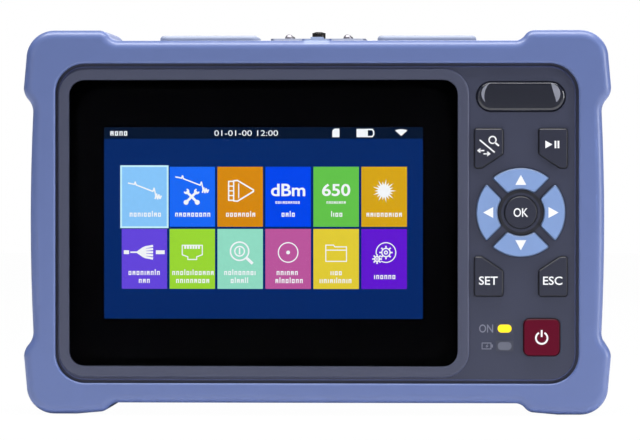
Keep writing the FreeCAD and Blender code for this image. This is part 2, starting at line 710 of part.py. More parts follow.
def key_middle(name):
    centre = key_prism(name, 0, 0, 1).Solids[0].CenterOfMass
    return centre.x, centre.z


def make_key(name):
    """Hard cap with a retaining flange behind the panel."""
    cap = key_prism(name, 0, KEY_Y, FLANGE_Y)
    cap = cap.makeChamfer(KEY_EDGE, edges_at_y(cap, KEY_Y))
    return cap.fuse(key_prism(name, KEY_FLANGE, FLANGE_Y, KEY_BACK))


# ---- Case shells ----

def case_block(y0, y1, inset):
    return slab(-CASE_X + inset, CASE_X - inset, CASE_LOW + inset, CASE_HIGH - inset,
                CASE_R - inset, y0, y1)


def case_screw_places():
    places = [(side * CASE_SCREW_X, z) for side in (-1, 1)
              for z in (CASE_LOW + CASE_SCREW_IN, CASE_HIGH - CASE_SCREW_IN)]
    return places + [(side * FOOT_SCREW_X, CASE_LOW + FOOT_SCREW_UP) for side in (-1, 1)]


def seal_ring(grow, y0, y1):
    """The gasket that lies in the middle of the wall, between the shells."""
    half = SEAL_WIDTH / 2 + grow
    return case_block(y0, y1, WALL / 2 - half).cut(case_block(y0 - CUT, y1 + CUT, WALL / 2 + half))


def keyboard_bosses():
    """Middles of the bosses that hold the keypad's board."""
    left = KEYBOARD_LEFT + KEYBOARD_BOSS_IN
    right = KEYBOARD_RIGHT - KEYBOARD_BOSS_IN
    low = POWER_Z + KEYBOARD_BOSS_UP
    high = KEYBOARD_HIGH - KEYBOARD_BOSS_IN
    return [(x, z) for z in (low, high) for x in (left, right)]


def make_front_housing():
    shell = case_block(SHOULDER_Y, SPLIT_Y, 0)
    shell = shell.makeChamfer(SHELL_EDGE, edges_at_y(shell, SHOULDER_Y))
    panel = slab(-PANEL_X, PANEL_X, PANEL_LOW, PANEL_HIGH, FRONT_OPEN_R - PANEL_GAP, PANEL_Y, SHOULDER_Y + BITE)
    panel = panel.makeChamfer(PANEL_EDGE, edges_at_y(panel, PANEL_Y))
    wide = SURROUND_WIDTH
    surround = slab(GLASS_LEFT - wide, GLASS_RIGHT + wide, GLASS_LOW - wide, GLASS_HIGH + wide,
                    GLASS_R + wide, SURROUND_Y, PANEL_Y + BITE)
    surround = surround.makeFillet(SURROUND_EDGE_R, edges_at_y(surround, SURROUND_Y))
    body = shell.cut(case_block(PANEL_BACK, SPLIT_Y + CUT, WALL)).fuse(panel).fuse(surround)

    # Seat of the glass, its ledge, and the rim that the display bracket lies on.
    body = body.cut(slab(GLASS_LEFT - GLASS_FIT, GLASS_RIGHT + GLASS_FIT, GLASS_LOW - GLASS_FIT,
                         GLASS_HIGH + GLASS_FIT, GLASS_R + GLASS_FIT, SURROUND_Y - CUT, LEDGE_Y))
    x0, x1 = GLASS_LEFT + LEDGE, GLASS_RIGHT - LEDGE
    z0, z1 = GLASS_LOW + LEDGE, GLASS_HIGH - LEDGE
    rim = slab(x0 - RIM_WIDTH, x1 + RIM_WIDTH, z0 - RIM_WIDTH, z1 + RIM_WIDTH, WINDOW_R + RIM_WIDTH,
               PANEL_BACK - BITE, BRACKET_Y)
    body = body.fuse(rim)
    for x, z in bracket_screw_places():
        body = body.fuse(rod_y(x, z, SMALL_BOSS_R, PANEL_BACK - BITE, BRACKET_Y))
    body = body.cut(slab(x0, x1, z0, z1, WINDOW_R, LEDGE_Y - CUT, BRACKET_Y + CUT))

    # Keypad apertures, with the bosses that hold its board.
    for name in KEYS:
        body = body.cut(key_prism(name, KEY_FIT, PANEL_Y - CUT, PANEL_BACK + CUT))
    for z in (LIGHT_ON_Z, LIGHT_CHARGE_Z):
        body = body.cut(light_prism(z, LIGHT_FIT, PANEL_Y - CUT, PANEL_BACK + CUT))
    for x, z in keyboard_bosses():
        body = body.fuse(rod_y(x, z, SMALL_BOSS_R, PANEL_BACK - BITE, KEYBOARD_Y))
        body = body.cut(rod_y(x, z, SMALL_SCREW_R + SCREW_FIT, PANEL_BACK, KEYBOARD_Y + CUT))
    for x, z in bracket_screw_places():
        body = body.cut(rod_y(x, z, SMALL_SCREW_R + SCREW_FIT, bracket_hole_y(), BRACKET_Y + CUT))

    # Pocket of the badge.
    body = body.cut(badge_prism(0, PANEL_Y - CUT, PANEL_Y + BADGE_SINK))

    # Case screw bosses and the gasket's groove.
    for x, z in case_screw_places():
        body = body.fuse(rod_y(x, z, CASE_BOSS_R, PANEL_BACK - BITE, SPLIT_Y))
        body = body.cut(rod_y(x, z, CASE_SCREW_R + SCREW_FIT, case_hole_y(), SPLIT_Y + CUT))
    body = body.cut(seal_ring(SEAL_FIT, SPLIT_Y - SEAL_THICK, SPLIT_Y + CUT))

    # Notch in the top wall for the port panel, which slides in from behind.
    half = PORT_PANEL_X + PORT_PANEL_FIT
    body = body.cut(block(-half, half, PORT_PANEL_FRONT - PORT_PANEL_FIT, SPLIT_Y + CUT, INNER_TOP - CUT,
                          CASE_HIGH + CUT))
    return body.removeSplitter()


def case_hole_y():
    """Bottom of the holes for the case screws."""
    return SPLIT_Y + CASE_SEAT - CASE_SCREW_LENGTH - SCREW_END_GAP


def bracket_hole_y():
    """Bottom of the holes for the bracket's screws, in the rim of the window."""
    return LEDGE_Y + GLUE_THICK * 2


# ---- Port panel ----

def lan_centres():
    return PORT_ROW_X - LAN_PITCH / 2, PORT_ROW_X + LAN_PITCH / 2


def left_row():
    """Middles of the power, micro USB and USB jacks, spread over the left cover."""
    total = DC_SIZE + MICRO_WIDTH + USB_WIDTH + 2 * JACK_ROW_GAP
    start = -PORT_ROW_X - total / 2
    dc = start + DC_SIZE / 2
    micro = start + DC_SIZE + JACK_ROW_GAP + MICRO_WIDTH / 2
    usb = start + total - USB_WIDTH / 2
    return dc, micro, usb


def jack_windows():
    """Openings for the jacks, which stand on the rear of the main board; the LAN pair shares one."""
    dc, micro, usb = left_row()
    windows = []
    for x, width, depth in ((PORT_ROW_X, LAN_PITCH + LAN_WIDTH, LAN_DEPTH), (dc, DC_SIZE, DC_SIZE),
                            (micro, MICRO_WIDTH, MICRO_DEPTH), (usb, USB_WIDTH, USB_DEPTH)):
        half = width / 2 + JACK_FIT
        windows.append(block(x - half, x + half, MAIN_BACK - JACK_FIT, MAIN_BACK + depth + JACK_FIT,
                             PORT_SEAT - CUT, CASE_HIGH + CUT))
    return windows


def otdr_well_r():
    return THREAD_R + CAP_FIT + CAP_WALL + WELL_GAP


def side_well_r():
    return SIDE_BARREL_R + CAP_FIT + CAP_WALL + WELL_GAP


def make_port_panel():
    """Insert in the top wall: jack windows, and the raised boss with the wells of the optical ports."""
    x = PORT_PANEL_X
    lap = PORT_PANEL_LAP
    body = block(-x, x, PORT_PANEL_FRONT, SPLIT_Y, INNER_TOP, CASE_HIGH)
    body = body.fuse(block(-x - lap, x + lap, PORT_PANEL_FRONT - lap, SPLIT_Y, PORT_SEAT, INNER_TOP))
    body = body.fuse(pad(-BOSS_X, BOSS_X, BOSS_FRONT, BOSS_REAR, PLATE_R, INNER_TOP, PLATE_LOW))
    for window in jack_windows():
        body = body.cut(window)
    body = body.cut(rod_z(0, OTDR_Y, otdr_well_r(), WELL_FLOOR, PLATE_TOP))
    body = body.cut(rod_z(0, OTDR_Y, THREAD_R + WELL_GAP, PORT_SEAT - CUT, PLATE_TOP))
    for side in (-1, 1):
        px = side * SIDE_PORT_X
        body = body.cut(rod_z(px, SIDE_PORT_Y, side_well_r(), WELL_FLOOR, PLATE_TOP))
        body = body.cut(rod_z(px, SIDE_PORT_Y, SIDE_BARREL_R + WELL_GAP, PORT_SEAT - CUT, PLATE_TOP))
        body = body.cut(rod_z(px, PLATE_SCREW_Y, PLATE_SCREW_R + SCREW_FIT, PORT_SEAT - CUT, PLATE_TOP))
    body = body.cut(seal_ring(SEAL_FIT, SPLIT_Y - SEAL_THICK, SPLIT_Y + CUT))
    return body.removeSplitter()


# ---- Rear shell ----

def bay_bounds(grow):
    """Inside of the battery bay, grown all round."""
    low = BATTERY_LOW - BATTERY_GAP - grow
    high = BATTERY_HIGH + BATTERY_GAP + CONTACT_HEIGHT + grow
    half = BATTERY_X + BATTERY_GAP + grow
    return -half, half, low, high


def make_rear_housing():
    shell = case_block(SPLIT_Y, REAR_SHOULDER_Y, 0)
    shell = shell.makeChamfer(SHELL_EDGE, edges_at_y(shell, REAR_SHOULDER_Y))
    gap = PANEL_GAP
    back = slab(-REAR_OPEN_X + gap, REAR_OPEN_X - gap, REAR_OPEN_LOW + gap, REAR_OPEN_HIGH - gap,
                REAR_OPEN_R - gap, REAR_SHOULDER_Y - BITE, BACK_Y)
    back = back.makeChamfer(PANEL_EDGE, edges_at_y(back, BACK_Y))
    body = shell.fuse(back).cut(case_block(SPLIT_Y - CUT, BACK_INNER, WALL))

    # Tray behind the kickstand, battery bay in front of it, and the well for a finger below.
    x = STAND_X + STAND_GAP
    low = STAND_LOW - STAND_GAP
    high = STAND_HINGE_Z + STAND_THICK / 2 + STAND_GAP
    tray = slab(-x - WALL, x + WALL, low - WALL, high + WALL, STAND_R + WALL, DOOR_INNER - BAY_WALL,
                BACK_INNER + BITE)
    bx0, bx1, bz0, bz1 = bay_bounds(BAY_WALL)
    bay = slab(bx0, bx1, bz0, bz1, BATTERY_R + BAY_WALL, BATTERY_FRONT - BATTERY_GAP - BAY_WALL, RECESS_Y)
    finger = FINGER_WIDTH / 2
    finger_wall = slab(-finger - BAY_WALL, finger + BAY_WALL, FINGER_LOW - BAY_WALL, STAND_LOW + FINGER_R,
                       FINGER_R, BACK_Y - FINGER_DEEP - BAY_WALL, BACK_INNER + BITE)
    body = body.fuse(tray).fuse(bay).fuse(finger_wall)
    body = body.cut(slab(-x, x, low, high, STAND_R + STAND_GAP, RECESS_Y, BACK_Y + CUT))
    body = body.cut(block(-x, x, RECESS_Y, BACK_Y + CUT, STAND_HINGE_Z - STAND_THICK, high))
    body = body.cut(slab(-DOOR_X - DOOR_FIT, DOOR_X + DOOR_FIT, DOOR_LOW - DOOR_FIT, DOOR_HIGH + DOOR_FIT,
                         DOOR_R, DOOR_INNER, RECESS_Y + CUT))
    ix0, ix1, iz0, iz1 = bay_bounds(0)
    body = body.cut(slab(ix0, ix1, iz0, iz1, BATTERY_R, BATTERY_FRONT - BATTERY_GAP, RECESS_Y + CUT))
    body = body.cut(slab(-finger, finger, FINGER_LOW, low + STAND_NOTCH_DEEP, FINGER_R,
                         BACK_Y - FINGER_DEEP, BACK_Y + CUT))
    reach = STAND_X + STAND_PIN_LENGTH + STAND_GAP
    body = body.cut(rod_x(STAND_AXIS_Y, STAND_HINGE_Z, STAND_PIN_R + PIN_FIT, -reach, reach))

    for sx in (-DOOR_SCREW_X, DOOR_SCREW_X):
        body = body.fuse(rod_y(sx, DOOR_SCREW_Z, SMALL_BOSS_R, DOOR_INNER - SMALL_SCREW_LENGTH, DOOR_INNER))
        body = body.cut(rod_y(sx, DOOR_SCREW_Z, SMALL_SCREW_R + SCREW_FIT,
                              DOOR_INNER - SMALL_SCREW_LENGTH - CUT, DOOR_INNER + CUT))
    for bx, bz in case_screw_places():
        body = body.fuse(rod_y(bx, bz, WELL_R + WELL_WALL, SPLIT_Y, BACK_INNER + BITE))
        body = body.cut(rod_y(bx, bz, WELL_R, SPLIT_Y + CASE_SEAT, BACK_Y + CUT))
        body = body.cut(rod_y(bx, bz, CASE_SCREW_R + SCREW_FIT, SPLIT_Y - CUT, SPLIT_Y + CASE_SEAT + CUT))

    # Grille and collar of the speaker.
    collar = rod_y(SPEAKER_X, SPEAKER_Z, SPEAKER_R + SPEAKER_COLLAR, BACK_INNER - SPEAKER_THICK,
                   BACK_INNER + BITE)
    inside = rod_y(SPEAKER_X, SPEAKER_Z, SPEAKER_R + SPEAKER_FIT, BACK_INNER - SPEAKER_THICK - CUT, BACK_INNER)
    body = body.fuse(collar).cut(inside)
    for i in range(GRILLE_SLOTS):
        z = SPEAKER_Z + (i - (GRILLE_SLOTS - 1) / 2) * SLOT_PITCH
        body = body.cut(slab(SPEAKER_X - SLOT_LONG / 2, SPEAKER_X + SLOT_LONG / 2, z - SLOT_WIDE / 2,
                             z + SLOT_WIDE / 2, SLOT_WIDE / 2, BACK_INNER - CUT, BACK_Y + CUT))
    return body.removeSplitter()


def make_housing_seal():
    return seal_ring(0, SPLIT_Y - SEAL_THICK, SPLIT_Y)


# ---- Display ----

def make_cover_glass():
    glass = slab(GLASS_LEFT, GLASS_RIGHT, GLASS_LOW, GLASS_HIGH, GLASS_R, GLASS_Y, GLASS_BACK)
    return glass.makeChamfer(GLASS_EDGE, edges_at_y(glass, GLASS_Y))


def make_glass_adhesive():
    outer = slab(GLASS_LEFT, GLASS_RIGHT, GLASS_LOW, GLASS_HIGH, GLASS_R, GLASS_BACK, LEDGE_Y)
    inner = slab(GLASS_LEFT + LEDGE, GLASS_RIGHT - LEDGE, GLASS_LOW + LEDGE, GLASS_HIGH - LEDGE,
                 WINDOW_R, GLASS_BACK - CUT, LEDGE_Y + CUT)
    return outer.cut(inner)


def make_lcd_panel():
    return slab(LCD_X - LCD_HALF_X, LCD_X + LCD_HALF_X, LCD_LOW, LCD_HIGH, LCD_R, LCD_Y, BRACKET_Y)


def bracket_bounds():
    inset = LEDGE - RIM_WIDTH
    return GLASS_LEFT + inset, GLASS_RIGHT - inset, GLASS_LOW + inset, GLASS_HIGH - inset


def bracket_screw_places():
    """Four screws through the bracket into the rim, along its long sides."""
    x0, x1, z0, z1 = bracket_bounds()
    inset = RIM_WIDTH / 2
    quarter = (x1 - x0) / 4
    middle = (x0 + x1) / 2
    return [(middle + side * quarter, z) for side in (-1, 1) for z in (z0 + inset, z1 - inset)]


def standoffs():
    """Middles of the standoffs that carry the main board."""
    x0, x1, z0, z1 = bracket_bounds()
    return [(x, z) for x in (x0 + STANDOFF_SIDE, x1 - STANDOFF_SIDE)
            for z in (z0 + STANDOFF_LOW, z1 - STANDOFF_HIGH)]


def make_lcd_bracket():
    """Pressed steel plate behind the display, with standoffs for the main board."""
    x0, x1, z0, z1 = bracket_bounds()
    plate = slab(x0, x1, z0, z1, WINDOW_R + RIM_WIDTH, BRACKET_Y, BRACKET_BACK)
    half_x = (CABLE_WIDTH + CABLE_SLOT) / 2
    half_z = CABLE_SLOT / 2
    plate = plate.cut(block(LCD_X - half_x, LCD_X + half_x, BRACKET_Y - CUT, BRACKET_BACK + CUT,
                            cable_z() - half_z, cable_z() + half_z))
    for x, z in standoffs():
        plate = plate.fuse(rod_y(x, z, BRACKET_STANDOFF_R, BRACKET_Y, MAIN_Y))
        plate = plate.cut(rod_y(x, z, SMALL_SCREW_R + SCREW_FIT, BRACKET_BACK, MAIN_Y + CUT))
    for x, z in bracket_screw_places():
        plate = plate.fuse(rod_y(x, z, SMALL_BOSS_R, BRACKET_Y, BRACKET_BACK))
        plate = plate.cut(rod_y(x, z, SMALL_SCREW_R + SCREW_FIT, BRACKET_Y - CUT, BRACKET_BACK + CUT))
    return plate.removeSplitter()


def cable_z():
    return LCD_LOW - CABLE_DROP


def make_display_cable():
    """Flat cable from the lower edge of the display to the front of the main board."""
    x0, x1 = LCD_X - CABLE_WIDTH / 2, LCD_X + CABLE_WIDTH / 2
    z = cable_z()
    y = LCD_Y + LCD_THICK / 2
    down = block(x0, x1, y, y + CABLE_THICK, z, LCD_LOW)
    through = block(x0, x1, y, MAIN_Y, z, z + CABLE_THICK)
    return down.fuse(through).removeSplitter()


def screw_group(places, seat_y, length):
    """Small screws that point forwards, heads to the rear."""
    return Part.makeCompound([screw_y(x, z, SMALL_SCREW_R, length, SMALL_HEAD_R, SMALL_HEAD_HIGH, seat_y, -1)
                              for x, z in places])


# ---- Keypad parts ----

def light_prism(z, grow, y0, y1):
    return slab(LIGHT_X - LIGHT_WIDTH / 2 - grow, LIGHT_X + LIGHT_WIDTH / 2 + grow,
                z - LIGHT_HEIGHT / 2 - grow, z + LIGHT_HEIGHT / 2 + grow, LIGHT_R + grow, y0, y1)


def make_light_pipe(z):
    """Clear moulded pipe from the keypad board to the panel, with a shoulder behind the panel."""
    head = light_prism(z, 0, PANEL_Y - LIGHT_PROUD, KEYBOARD_Y)
    return head.fuse(light_prism(z, LIGHT_SHOULDER, PANEL_BACK, PANEL_BACK + LIGHT_SHOULDER_THICK))


def make_keypad_mat():
    mat = slab(KEYBOARD_LEFT + MAT_MARGIN, KEYBOARD_RIGHT - MAT_MARGIN, KEYBOARD_LOW, MAT_HIGH, MAT_R,
               MAT_Y, KEYBOARD_Y)
    for name in KEYS:
        x, z = key_middle(name)
        mat = mat.fuse(rod_y(x, z, DOME_R, DOME_Y, MAT_Y + MAT_THICK / 2))
    # Notches round the bosses, open to the nearer side.
    notch = SMALL_BOSS_R + BOSS_NOTCH_GAP
    for x, z in keyboard_bosses():
        outside = KEYBOARD_LEFT - CUT if x < (KEYBOARD_LEFT + KEYBOARD_RIGHT) / 2 else KEYBOARD_RIGHT + CUT
        mat = mat.cut(rod_y(x, z, notch, DOME_Y - CUT, KEYBOARD_Y + CUT))
        mat = mat.cut(block(min(x, outside), max(x, outside), DOME_Y - CUT, KEYBOARD_Y + CUT, z - notch,
                            z + notch))
    for z in (LIGHT_ON_Z, LIGHT_CHARGE_Z):
        mat = mat.cut(light_prism(z, KEY_FIT, DOME_Y - CUT, KEYBOARD_Y + CUT))
    return mat


def make_keypad_board():
    board = slab(KEYBOARD_LEFT, KEYBOARD_RIGHT, KEYBOARD_LOW, KEYBOARD_HIGH, BOARD_R, KEYBOARD_Y, KEYBOARD_BACK)
    for x, z in keyboard_bosses():
        board = board.cut(rod_y(x, z, SMALL_SCREW_R + SCREW_FIT, KEYBOARD_Y - CUT, KEYBOARD_BACK + CUT))
    return board


def badge_prism(inset, y0, y1):
    half_x = BADGE_WIDTH / 2 - inset
    half_z = BADGE_HEIGHT / 2 - inset
    return slab(PAD_X - half_x, PAD_X + half_x, BADGE_Z - half_z, BADGE_Z + half_z, half_z, y0, y1)


def make_name_badge():
    """Bare domed badge, cast in clear resin over a dark face."""
    floor = PANEL_Y + BADGE_SINK
    top = PANEL_Y - BADGE_DOME
    badge = badge_prism(BADGE_FIT, top, floor)
    return badge.makeFillet(BADGE_EDGE_R, edges_at_y(badge, top))


# ---- Boards and optics ----

def make_main_board():
    board = slab(MAIN_LEFT, MAIN_RIGHT, MAIN_LOW, MAIN_HIGH, BOARD_R, MAIN_Y, MAIN_BACK)
    for x, z in standoffs():
        board = board.cut(rod_y(x, z, SMALL_SCREW_R + SCREW_FIT, MAIN_Y - CUT, MAIN_BACK + CUT))
    return board


def make_optical_module():
    """Die-cast box with its lid and the boot of the outgoing fibre."""
    inset = MODULE_LID_IN
    case = slab(MODULE_LEFT, MODULE_OUT, MODULE_LOW, MODULE_HIGH, MODULE_R, MAIN_BACK,
                MODULE_BACK - MODULE_LID)
    lid = slab(MODULE_LEFT + inset, MODULE_OUT - inset, MODULE_LOW + inset, MODULE_HIGH - inset,
               MODULE_R - inset, MODULE_BACK - MODULE_LID, MODULE_BACK)
    boot = rod_z(0, OTDR_Y, BOOT_R, MODULE_HIGH - BITE, MODULE_HIGH + BOOT_LENGTH)
    return case.fuse(lid).fuse(boot)


def make_fibre_pigtail():
    return rod_z(0, OTDR_Y, FIBRE_R, ADAPTER_LOW - FIBRE_LENGTH, ADAPTER_LOW)


def make_adapter_plate():
    plate = pad(-BOSS_X, BOSS_X, BOSS_FRONT, BOSS_REAR, PLATE_R, PLATE_LOW, PLATE_TOP)
    plate = plate.cut(rod_z(0, OTDR_Y, otdr_well_r(), PLATE_LOW - CUT, PLATE_TOP + CUT))
    for side in (-1, 1):
        x = side * SIDE_PORT_X
        plate = plate.cut(rod_z(x, SIDE_PORT_Y, side_well_r(), PLATE_LOW - CUT, PLATE_TOP + CUT))
        plate = plate.cut(rod_z(x, PLATE_SCREW_Y, PLATE_SCREW_R + SCREW_FIT, PLATE_LOW - CUT, PLATE_TOP + CUT))
    return plate


def make_plate_screws():
    """Two small screws with domed heads."""
    rise = PLATE_SCREW_DOME
    ball_r = (PLATE_SCREW_HEAD_R ** 2 + rise ** 2) / (2 * rise)
    screws = []
    for side in (-1, 1):
        x = side * SIDE_PORT_X
        head = Part.makeSphere(ball_r, V(x, PLATE_SCREW_Y, PLATE_TOP + rise - ball_r))
        keep = rod_z(x, PLATE_SCREW_Y, PLATE_SCREW_HEAD_R, PLATE_TOP, PLATE_TOP + rise + CUT)
        shank = rod_z(x, PLATE_SCREW_Y, PLATE_SCREW_R, PLATE_LOW - PLATE_SCREW_LENGTH, PLATE_TOP)
        screws.append(head.common(keep).fuse(shank).removeSplitter())
    return Part.makeCompound(screws)


def make_otdr_adapter():
    """Ferrule adapter: keyed barrel, square flange and alignment sleeve."""
    half = PORT_FLANGE
    bore_low = ADAPTER_TOP - FERRULE_BORE_DEEP
    body = rod_z(0, OTDR_Y, THREAD_R, ADAPTER_LOW, ADAPTER_TOP)
    body = body.fuse(pad(-half, half, OTDR_Y - PORT_FLANGE_FRONT, OTDR_Y + half, PORT_FLANGE_R,
                         PORT_SEAT - FLANGE_THICK, PORT_SEAT))
    body = body.cut(rod_z(0, OTDR_Y, THREAD_BORE_R, bore_low, ADAPTER_TOP + CUT))
    body = body.cut(block(-KEYWAY_WIDTH / 2, KEYWAY_WIDTH / 2, OTDR_Y - THREAD_R - CUT,
                          OTDR_Y - THREAD_BORE_R + KEYWAY_BITE, ADAPTER_TOP - KEYWAY_DEEP, ADAPTER_TOP + CUT))
    body = body.fuse(rod_z(0, OTDR_Y, SLEEVE_R, bore_low - BITE, ADAPTER_TOP - SLEEVE_SINK))
    return body.cut(rod_z(0, OTDR_Y, FERRULE_BORE_R, bore_low, ADAPTER_TOP + CUT))


def make_side_port(side):
    """Plain barrel that takes a 2.5 mm ferrule, with its detector or laser can behind."""
    x = side * SIDE_PORT_X
    body = rod_z(x, SIDE_PORT_Y, SIDE_BARREL_R, SIDE_LOW, ADAPTER_TOP)
    body = body.fuse(rod_z(x, SIDE_PORT_Y, SIDE_FLANGE_R, PORT_SEAT - FLANGE_THICK, PORT_SEAT))
    body = body.fuse(rod_z(x, SIDE_PORT_Y, SIDE_FLANGE_R, SIDE_LOW - SIDE_CAN, SIDE_LOW))
    return body.cut(rod_z(x, SIDE_PORT_Y, FERRULE_BORE_R, ADAPTER_TOP - FERRULE_BORE_DEEP, ADAPTER_TOP + CUT))


def make_cap(x, y, inner_r, knob_r, knob_high):
    """Push-on dust cap with a round-ended knob."""
    knob_top = CAP_TOP + knob_high
    shell = rod_z(x, y, inner_r + CAP_FIT + CAP_WALL, CAP_LOW, CAP_TOP)
    shell = shell.makeChamfer(CAP_EDGE_R, [e for e in shell.Edges if e.BoundBox.ZMin > CAP_TOP - 1e-4])
    knob = rod_z(x, y, knob_r, CAP_TOP - BITE, knob_top)
    knob = knob.makeFillet(knob_r * 0.6, [e for e in knob.Edges if e.BoundBox.ZMin > knob_top - 1e-4])
    bore = rod_z(x, y, inner_r + CAP_FIT, CAP_LOW - CUT, ADAPTER_TOP + CAP_ROOF_GAP)
    return shell.fuse(knob).cut(bore)


# ---- Jacks ----

def make_lan_jack(x):
    """Shielded 8-way jack that opens upwards, with its latch slot to the front."""
    y0 = MAIN_BACK
    body = block(x - LAN_WIDTH / 2, x + LAN_WIDTH / 2, y0, y0 + LAN_DEPTH, JACK_TOP - LAN_HEIGHT, JACK_TOP)
    mouth_y = y0 + LAN_LATCH_DEPTH + LAN_WALL
    mouth = block(x - LAN_MOUTH / 2, x + LAN_MOUTH / 2, mouth_y, mouth_y + LAN_MOUTH_DEPTH,
                  JACK_TOP - LAN_HOLE, JACK_TOP + CUT)
    latch = block(x - LAN_LATCH / 2, x + LAN_LATCH / 2, mouth_y - LAN_LATCH_DEPTH, mouth_y + BITE,
                  JACK_TOP - LAN_LATCH_HOLE, JACK_TOP + CUT)
    return body.cut(mouth).cut(latch)


def make_usb_a_jack():
    x = left_row()[2]
    y0, y1 = MAIN_BACK, MAIN_BACK + USB_DEPTH
    half = USB_WIDTH / 2
    wall = USB_WALL
    floor = JACK_TOP - USB_HOLE
    body = block(x - half, x + half, y0, y1, JACK_TOP - USB_HEIGHT, JACK_TOP)
    body = body.cut(block(x - half + wall, x + half - wall, y0 + wall, y1 - wall, floor, JACK_TOP + CUT))
    tongue = block(x - half + USB_TONGUE_IN, x + half - USB_TONGUE_IN, y1 - 2 * wall - USB_TONGUE,
                   y1 - 2 * wall, floor - BITE, JACK_TOP - CUT)
    return body.fuse(tongue)


def make_micro_usb_jack():
    x = left_row()[1]
    y0, y1 = MAIN_BACK, MAIN_BACK + MICRO_DEPTH
    half = MICRO_WIDTH / 2
    wall = MICRO_WALL
    floor = JACK_TOP - MICRO_HOLE
    body = block(x - half, x + half, y0, y1, JACK_TOP - MICRO_HEIGHT, JACK_TOP)
    body = body.cut(block(x - half + wall, x + half - wall, y0 + wall, y1 - wall, floor, JACK_TOP + CUT))
    middle = (y0 + y1) / 2
    tongue = block(x - half + MICRO_TONGUE_IN, x + half - MICRO_TONGUE_IN, middle - MICRO_TONGUE / 2,
                   middle + MICRO_TONGUE / 2, floor - BITE, JACK_TOP - BITE)
    return body.fuse(tongue)


def make_dc_jack():
    x = left_row()[0]
    y = MAIN_BACK + DC_SIZE / 2
    half = DC_SIZE / 2
    body = block(x - half, x + half, MAIN_BACK, MAIN_BACK + DC_SIZE, JACK_TOP - DC_HEIGHT, JACK_TOP)
    body = body.cut(rod_z(x, y, DC_BORE_R, JACK_TOP - DC_HOLE, JACK_TOP + CUT))
    return body.fuse(rod_z(x, y, DC_PIN_R, JACK_TOP - DC_HOLE - BITE, JACK_TOP - CUT))


# ---- Port flaps ----

def make_flap(middle):
    """Soft cover: a raised lid, a plug frame below it, and a barrel on the hinge pin."""
    top = FLAP_LOW + FLAP_THICK
    half = FLAP_WIDTH / 2
    rear = HINGE_Y - BARREL_R - BARREL_GAP
    lid = pad(middle - half, middle + half, FLAP_FRONT, rear, FLAP_R, FLAP_LOW, top)
    lid = lid.makeFillet(FLAP_EDGE_R, [e for e in lid.Edges if e.BoundBox.ZMin > top - 1e-4])
    gap = FLAP_SWING_GAP
    plug_half = WINDOW_WIDTH / 2 - gap
    plug_low = FLAP_LOW - PLUG_DEEP
    plug = pad(middle - plug_half, middle + plug_half, WINDOW_FRONT + gap, WINDOW_REAR - gap, PLUG_R,
               plug_low, FLAP_LOW)
    plug = plug.cut(block(middle - plug_half + PLUG_WALL, middle + plug_half - PLUG_WALL,
                          WINDOW_FRONT + gap + PLUG_WALL, WINDOW_REAR - gap - PLUG_WALL, plug_low - CUT,
                          FLAP_LOW))
    strap = block(middle - BARREL_HALF, middle + BARREL_HALF, rear - STRAP_LONG, HINGE_Y, FLAP_LOW,
                  FLAP_LOW + STRAP_THICK)
    barrel = rod_x(HINGE_Y, HINGE_Z, BARREL_R, middle - BARREL_HALF, middle + BARREL_HALF)
    body = lid.fuse(plug).fuse(strap).fuse(barrel)
    return body.cut(rod_x(HINGE_Y, HINGE_Z, PIN_R + PIN_FIT, middle - half, middle + half))


def make_flap_pins():
    half = BARREL_HALF + BARREL_GAP + LUG_LENGTH - SCREW_END_GAP
    return Part.makeCompound([rod_x(HINGE_Y, HINGE_Z, PIN_R, side * PORT_ROW_X - half, side * PORT_ROW_X + half)
                              for side in (-1, 1)])


# ---- Kickstand, battery and speaker ----

def make_kickstand():
    """Ribbed plate with stub pins; its upper edge is round about the hinge axis."""
    plate = slab(-STAND_X, STAND_X, STAND_LOW, STAND_HINGE_Z + STAND_R, STAND_R, STAND_INNER, STAND_FACE)
    plate = plate.cut(block(-STAND_X - CUT, STAND_X + CUT, STAND_INNER - CUT, STAND_FACE + CUT, STAND_HINGE_Z,
                            STAND_HINGE_Z + STAND_R + CUT))
    plate = plate.fuse(rod_x(STAND_AXIS_Y, STAND_HINGE_Z, STAND_THICK / 2, -STAND_X, STAND_X))
    rib = STAND_RIB
    pocket_low = STAND_LOW + STAND_NOTCH_DEEP + rib + FOOT_PAD_HEIGHT
    for x0, x1 in ((-STAND_X + rib, -rib / 2), (rib / 2, STAND_X - rib)):
        plate = plate.cut(slab(x0, x1, pocket_low, STAND_HINGE_Z - STAND_THICK, STAND_POCKET_R,
                               STAND_INNER - CUT, STAND_FACE - STAND_SKIN))
    plate = plate.cut(rod_y(0, STAND_LOW - STAND_NOTCH_R + STAND_NOTCH_DEEP, STAND_NOTCH_R, STAND_INNER - CUT,
                            STAND_FACE + CUT))
    for side in (-1, 1):
        x0, x1 = sorted((side * (STAND_X - CUT), side * (STAND_X + STAND_PIN_LENGTH)))
        plate = plate.fuse(rod_x(STAND_AXIS_Y, STAND_HINGE_Z, STAND_PIN_R, x0, x1))
        plate = plate.cut(foot_pad(side))
    return plate.removeSplitter()


def foot_pad(side):
    middle = side * (STAND_X + STAND_NOTCH_R) / 2
    half = FOOT_PAD_WIDTH / 2
    low = STAND_LOW + FOOT_PAD_UP
    return slab(middle - half, middle + half, low, low + FOOT_PAD_HEIGHT, FOOT_PAD_R, STAND_INNER,
                STAND_INNER + FOOT_PAD_THICK)


def make_stand_foot():
    return Part.makeCompound([foot_pad(side) for side in (-1, 1)])


